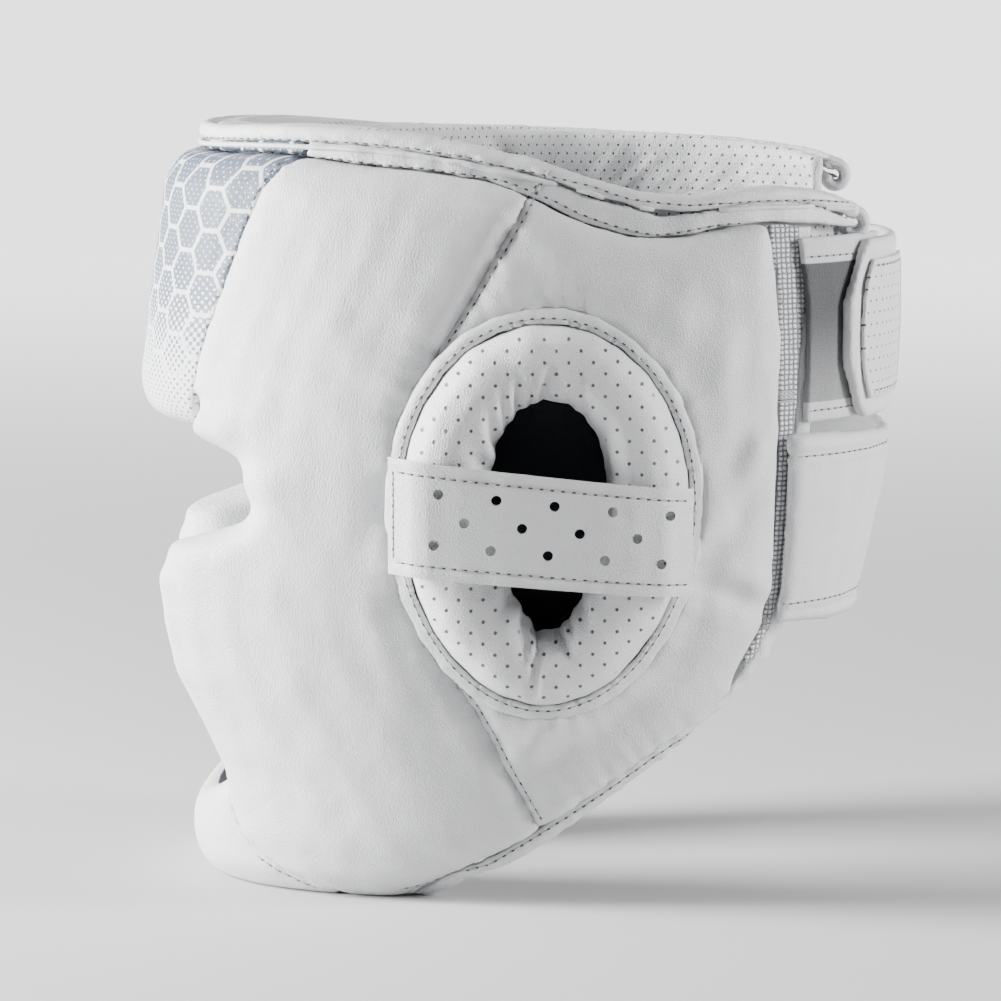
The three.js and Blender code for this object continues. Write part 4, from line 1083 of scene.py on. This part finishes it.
def printed_leather(name, ink, low, high):
    """Cells with white joints and a lattice of white dots, which grow towards the low edge
    until the ink itself is dots that fade out."""
    g = Graph(name)
    coords = g.object_mm()
    height = grain(g, coords)
    u, v, inward = g.wrap()
    best = None
    for shift in (0.0, 0.5):
        du = g.math("ABSOLUTE", g.cell(u, CELL_WIDTH, shift))
        dv = g.math("ABSOLUTE", g.cell(v, CELL_HEIGHT, shift))
        slant = g.math("MULTIPLY", du, math.sqrt(3) / 2)
        slant = g.math("ADD", slant, g.math("MULTIPLY", dv, 0.5))
        reach = g.math("MAXIMUM", dv, slant)
        best = reach if best is None else g.math("MINIMUM", best, reach)
    joint = g.step(best, CELL_HEIGHT / 2 - 1.0, CELL_HEIGHT / 2 - 0.6)
    fade = g.step(v, low, high)
    level = g.math("MULTIPLY_ADD", fade, 1.5, -0.68)
    lattice = dots(g, u, v, *DOT_PITCH)
    open_dot = g.step(g.math("SUBTRACT", lattice, level), -0.12, 0.12)
    white = g.math("MAXIMUM", open_dot, g.math("MULTIPLY", joint, g.step(v, low + 8, low + 22)))
    colour = g.mix(white, ink, WHITE)
    colour = g.mix(g.step(inward, 0.45, 0.6), colour, DARK)
    return g.finish(colour, LEATHER_ROUGHNESS, height)


print_leather = printed_leather("print_leather", (0.11, 0.14, 0.185, 1), 172.0, 238.0)
collar_leather = printed_leather("collar_leather", (0.03, 0.05, 0.07, 1), 60.0, 130.0)
print("printed leather made")

# %% [markdown]
# ## Tape, fabric, lining and thread
# The tape is a coarse weave, so it is a grid of raised cells that a noise makes uneven, and its
# hollows between the cells are painted dark as shade. Loop fabric and lining cloth have no
# visible weave at this size, and a fine noise gives their pile.
# The wing's loop fabric is painted grey as shade, darker towards its top, between two white
# stitched bands, which are set off by height.

# %% Tape, fabric, lining and thread
TAPE_CELL = (2.3, 1.8)


def woven_tape():
    g = Graph("woven_tape")
    coords = g.object_mm()
    x, y, z = g.parts(coords)
    u = g.math("ADD", y, g.math("MULTIPLY", x, -0.5))
    across = g.math("DIVIDE", u, TAPE_CELL[0])
    along = g.math("DIVIDE", z, TAPE_CELL[1])
    loose = g.node("ShaderNodeTexNoise", Vector=coords, Scale=0.35, Detail=1.0)
    across = g.math("MULTIPLY_ADD", loose.outputs[0], 0.5, across)
    along = g.math("MULTIPLY_ADD", loose.outputs[0], -0.5, along)
    waves = []
    for place in (across, along):
        off = g.math("ABSOLUTE", g.math("SUBTRACT", g.math("FRACT", place), 0.5))
        waves.append(g.math("COSINE", g.math("MULTIPLY", off, math.pi)))
    cell = g.math("MULTIPLY", *waves)
    fibre = g.node("ShaderNodeTexNoise", Vector=coords, Scale=3.0, Detail=2.0)
    height = g.math("MULTIPLY_ADD", fibre.outputs[0], 0.15, g.math("MULTIPLY", cell, 0.55))
    # Painted shade: the tape is darker where its cells are low, as the shade in the weave's hollows.
    colour = g.mix(g.step(cell, 0.15, 0.75), (0.20, 0.205, 0.22, 1), (0.80, 0.805, 0.82, 1))
    return g.finish(colour, 0.35, height)


def cloth(name, colour, scale, roughness):
    g = Graph(name)
    coords = g.object_mm()
    pile = g.node("ShaderNodeTexNoise", Vector=coords, Scale=scale, Detail=5.0, Roughness=0.7)
    dim = tuple(c * 0.6 for c in colour[:3]) + (1,)
    tint = g.mix(pile.outputs[0], dim, colour)
    return g.finish(tint, roughness, g.math("MULTIPLY", pile.outputs[0], 0.8))


def wing_cloth_painted_shade():
    """Loop fabric between the white stitched bands along the wing's top and bottom. Its grey is
    painted shade, darker towards the top.
    """
    g = Graph("loop_fabric")
    coords = g.object_mm()
    pile = g.node("ShaderNodeTexNoise", Vector=coords, Scale=1.4, Detail=5.0, Roughness=0.7)
    _, _, z = g.parts(coords)
    # Painted shade: the fabric is coloured grey, lighter below 175 mm and darker above 215 mm.
    fabric = g.mix(g.step(z, 175.0, 215.0), (0.40, 0.405, 0.41, 1), (0.11, 0.112, 0.118, 1))
    fabric = g.mix(pile.outputs[0], g.mix(0.5, fabric, (0.02, 0.02, 0.022, 1)), fabric)
    low_band = g.math("SUBTRACT", 1.0, g.step(z, 179.0, 179.6))
    band = g.math("MAXIMUM", g.step(z, 228.4, 229.0), low_band)
    return g.finish(g.mix(band, fabric, WHITE), 0.8, g.math("MULTIPLY", pile.outputs[0], 0.8))


tape = woven_tape()
loop = wing_cloth_painted_shade()
dark = cloth("dark_lining", (0.014, 0.017, 0.026, 1), 1.2, 0.95)
thread = cloth("thread", (0.80, 0.80, 0.82, 1), 4.0, 0.5)
# Needle holes: a dark grey that is painted shade, for the shadow in each hole.
mark = cloth("needle_mark", (0.12, 0.122, 0.13, 1), 4.0, 0.9)
print("tape, fabric, lining and thread made")

# %% [markdown]
# ## Giving out the materials
# A piece's name says what it is made of.


def look_of(name):
    if name in ("stitches", "bar_tacks"):
        return thread
    if name == "needle_marks":
        return mark
    if "forehead" in name:
        return print_leather
    if "collar_front" in name:
        return collar_leather
    if "ear_ring" in name:
        return ring_leather
    if name == "soft_sweatband":
        return band_leather
    if "tab_pad" in name:
        return tab_leather
    if "webbing" in name:
        return tape
    if "wing" in name:
        return loop
    if "lining" in name or "ear_mesh" in name:
        return dark
    return leather


for piece in made.values():
    piece.data.materials.clear()
    piece.data.materials.append(look_of(piece.name))
print("materials on", len(made), "pieces")

# %% [markdown]
# ## Floor, light and camera
# The photograph shows the wearer's left side on white, lit along the surface so that folds and
# grain show. Light from the camera's side would flatten them. So two softboxes stand in front of
# the face and behind the neck, a wide weak sun fills from above, and the world is almost dark.
# The floor is plain grey paper. Far behind the guard it glows, for a pale background, and near
# the guard it doesn't, so that it throws little light back up. The camera has a long lens and
# stands at the photograph's angle.

# %% Floor
# Where the floor starts to glow and where it glows fully, in metres behind the guard
GLOW_FROM, GLOW_FULL, GLOW = 0.2, 3.0, 2.4

bpy.ops.object.select_all(action="DESELECT")
bpy.ops.mesh.primitive_plane_add(size=80, location=(0, 0, 0))
floor = bpy.context.object
floor.name = "floor"
g = Graph("floor_paper")
g.feed(g.shader.inputs["Base Color"], (0.5, 0.5, 0.5, 1))
g.feed(g.shader.inputs["Roughness"], 0.9)
split = g.node("ShaderNodeSeparateXYZ")
g.feed(split.inputs[0], g.node("ShaderNodeTexCoord").outputs["Object"])
behind = g.math("MULTIPLY", split.outputs["X"], -1.0)
g.feed(g.shader.inputs["Emission Color"], (1, 1, 1, 1))
glow = g.math("MULTIPLY", g.step(behind, GLOW_FROM, GLOW_FULL), GLOW)
g.feed(g.shader.inputs["Emission Strength"], glow)
floor.data.materials.append(g.material)
print("floor made")


# %% Lights
def area_light(name, place, target, size, power):
    data = bpy.data.lights.new(name, "AREA")
    data.shape = "RECTANGLE"
    data.size, data.size_y = size
    data.energy = power
    lamp = bpy.data.objects.new(name, data)
    lamp.location = place
    lamp.rotation_euler = (Vector(target) - Vector(place)).to_track_quat("-Z", "Y").to_euler()
    bpy.context.scene.collection.objects.link(lamp)


middle = (0, 0, 0.14)
area_light("front softbox", (0.11, -1.5, 0.60), middle, (0.5, 1.0), 160)
area_light("rear softbox", (0.22, 1.5, 0.60), middle, (0.3, 0.8), 46)
sun = bpy.data.lights.new("sky", "SUN")
sun.energy = 0.5
sun.angle = math.radians(70)
lamp = bpy.data.objects.new("sky", sun)
lamp.rotation_euler = Vector((-0.15, -0.1, 1.0)).to_track_quat("Z", "Y").to_euler()
bpy.context.scene.collection.objects.link(lamp)

world = bpy.data.worlds.new("studio")
world.use_nodes = True
background = world.node_tree.nodes["Background"].inputs
background["Color"].default_value = (1, 1, 1, 1)
background["Strength"].default_value = 0.03
bpy.context.scene.world = world
print("two softboxes and a wide sun")

# %% Camera
# Lens in mm, distance to the target in metres, and the angle above the horizon
LENS = 184.5
CAMERA_DISTANCE = 1.9
ELEVATION = math.radians(7)

camera = bpy.data.cameras.new("camera")
camera.lens = LENS
camera.sensor_width = 36
camera.clip_end = 200
eye = bpy.data.objects.new("camera", camera)
target = Vector((0, -0.0067, 0.1356))
eye.location = target + CAMERA_DISTANCE * Vector((math.cos(ELEVATION), 0, math.sin(ELEVATION)))
eye.rotation_euler = (target - eye.location).to_track_quat("-Z", "Y").to_euler()
bpy.context.scene.collection.objects.link(eye)
bpy.context.scene.camera = eye
print("camera", CAMERA_DISTANCE, "m from the guard")
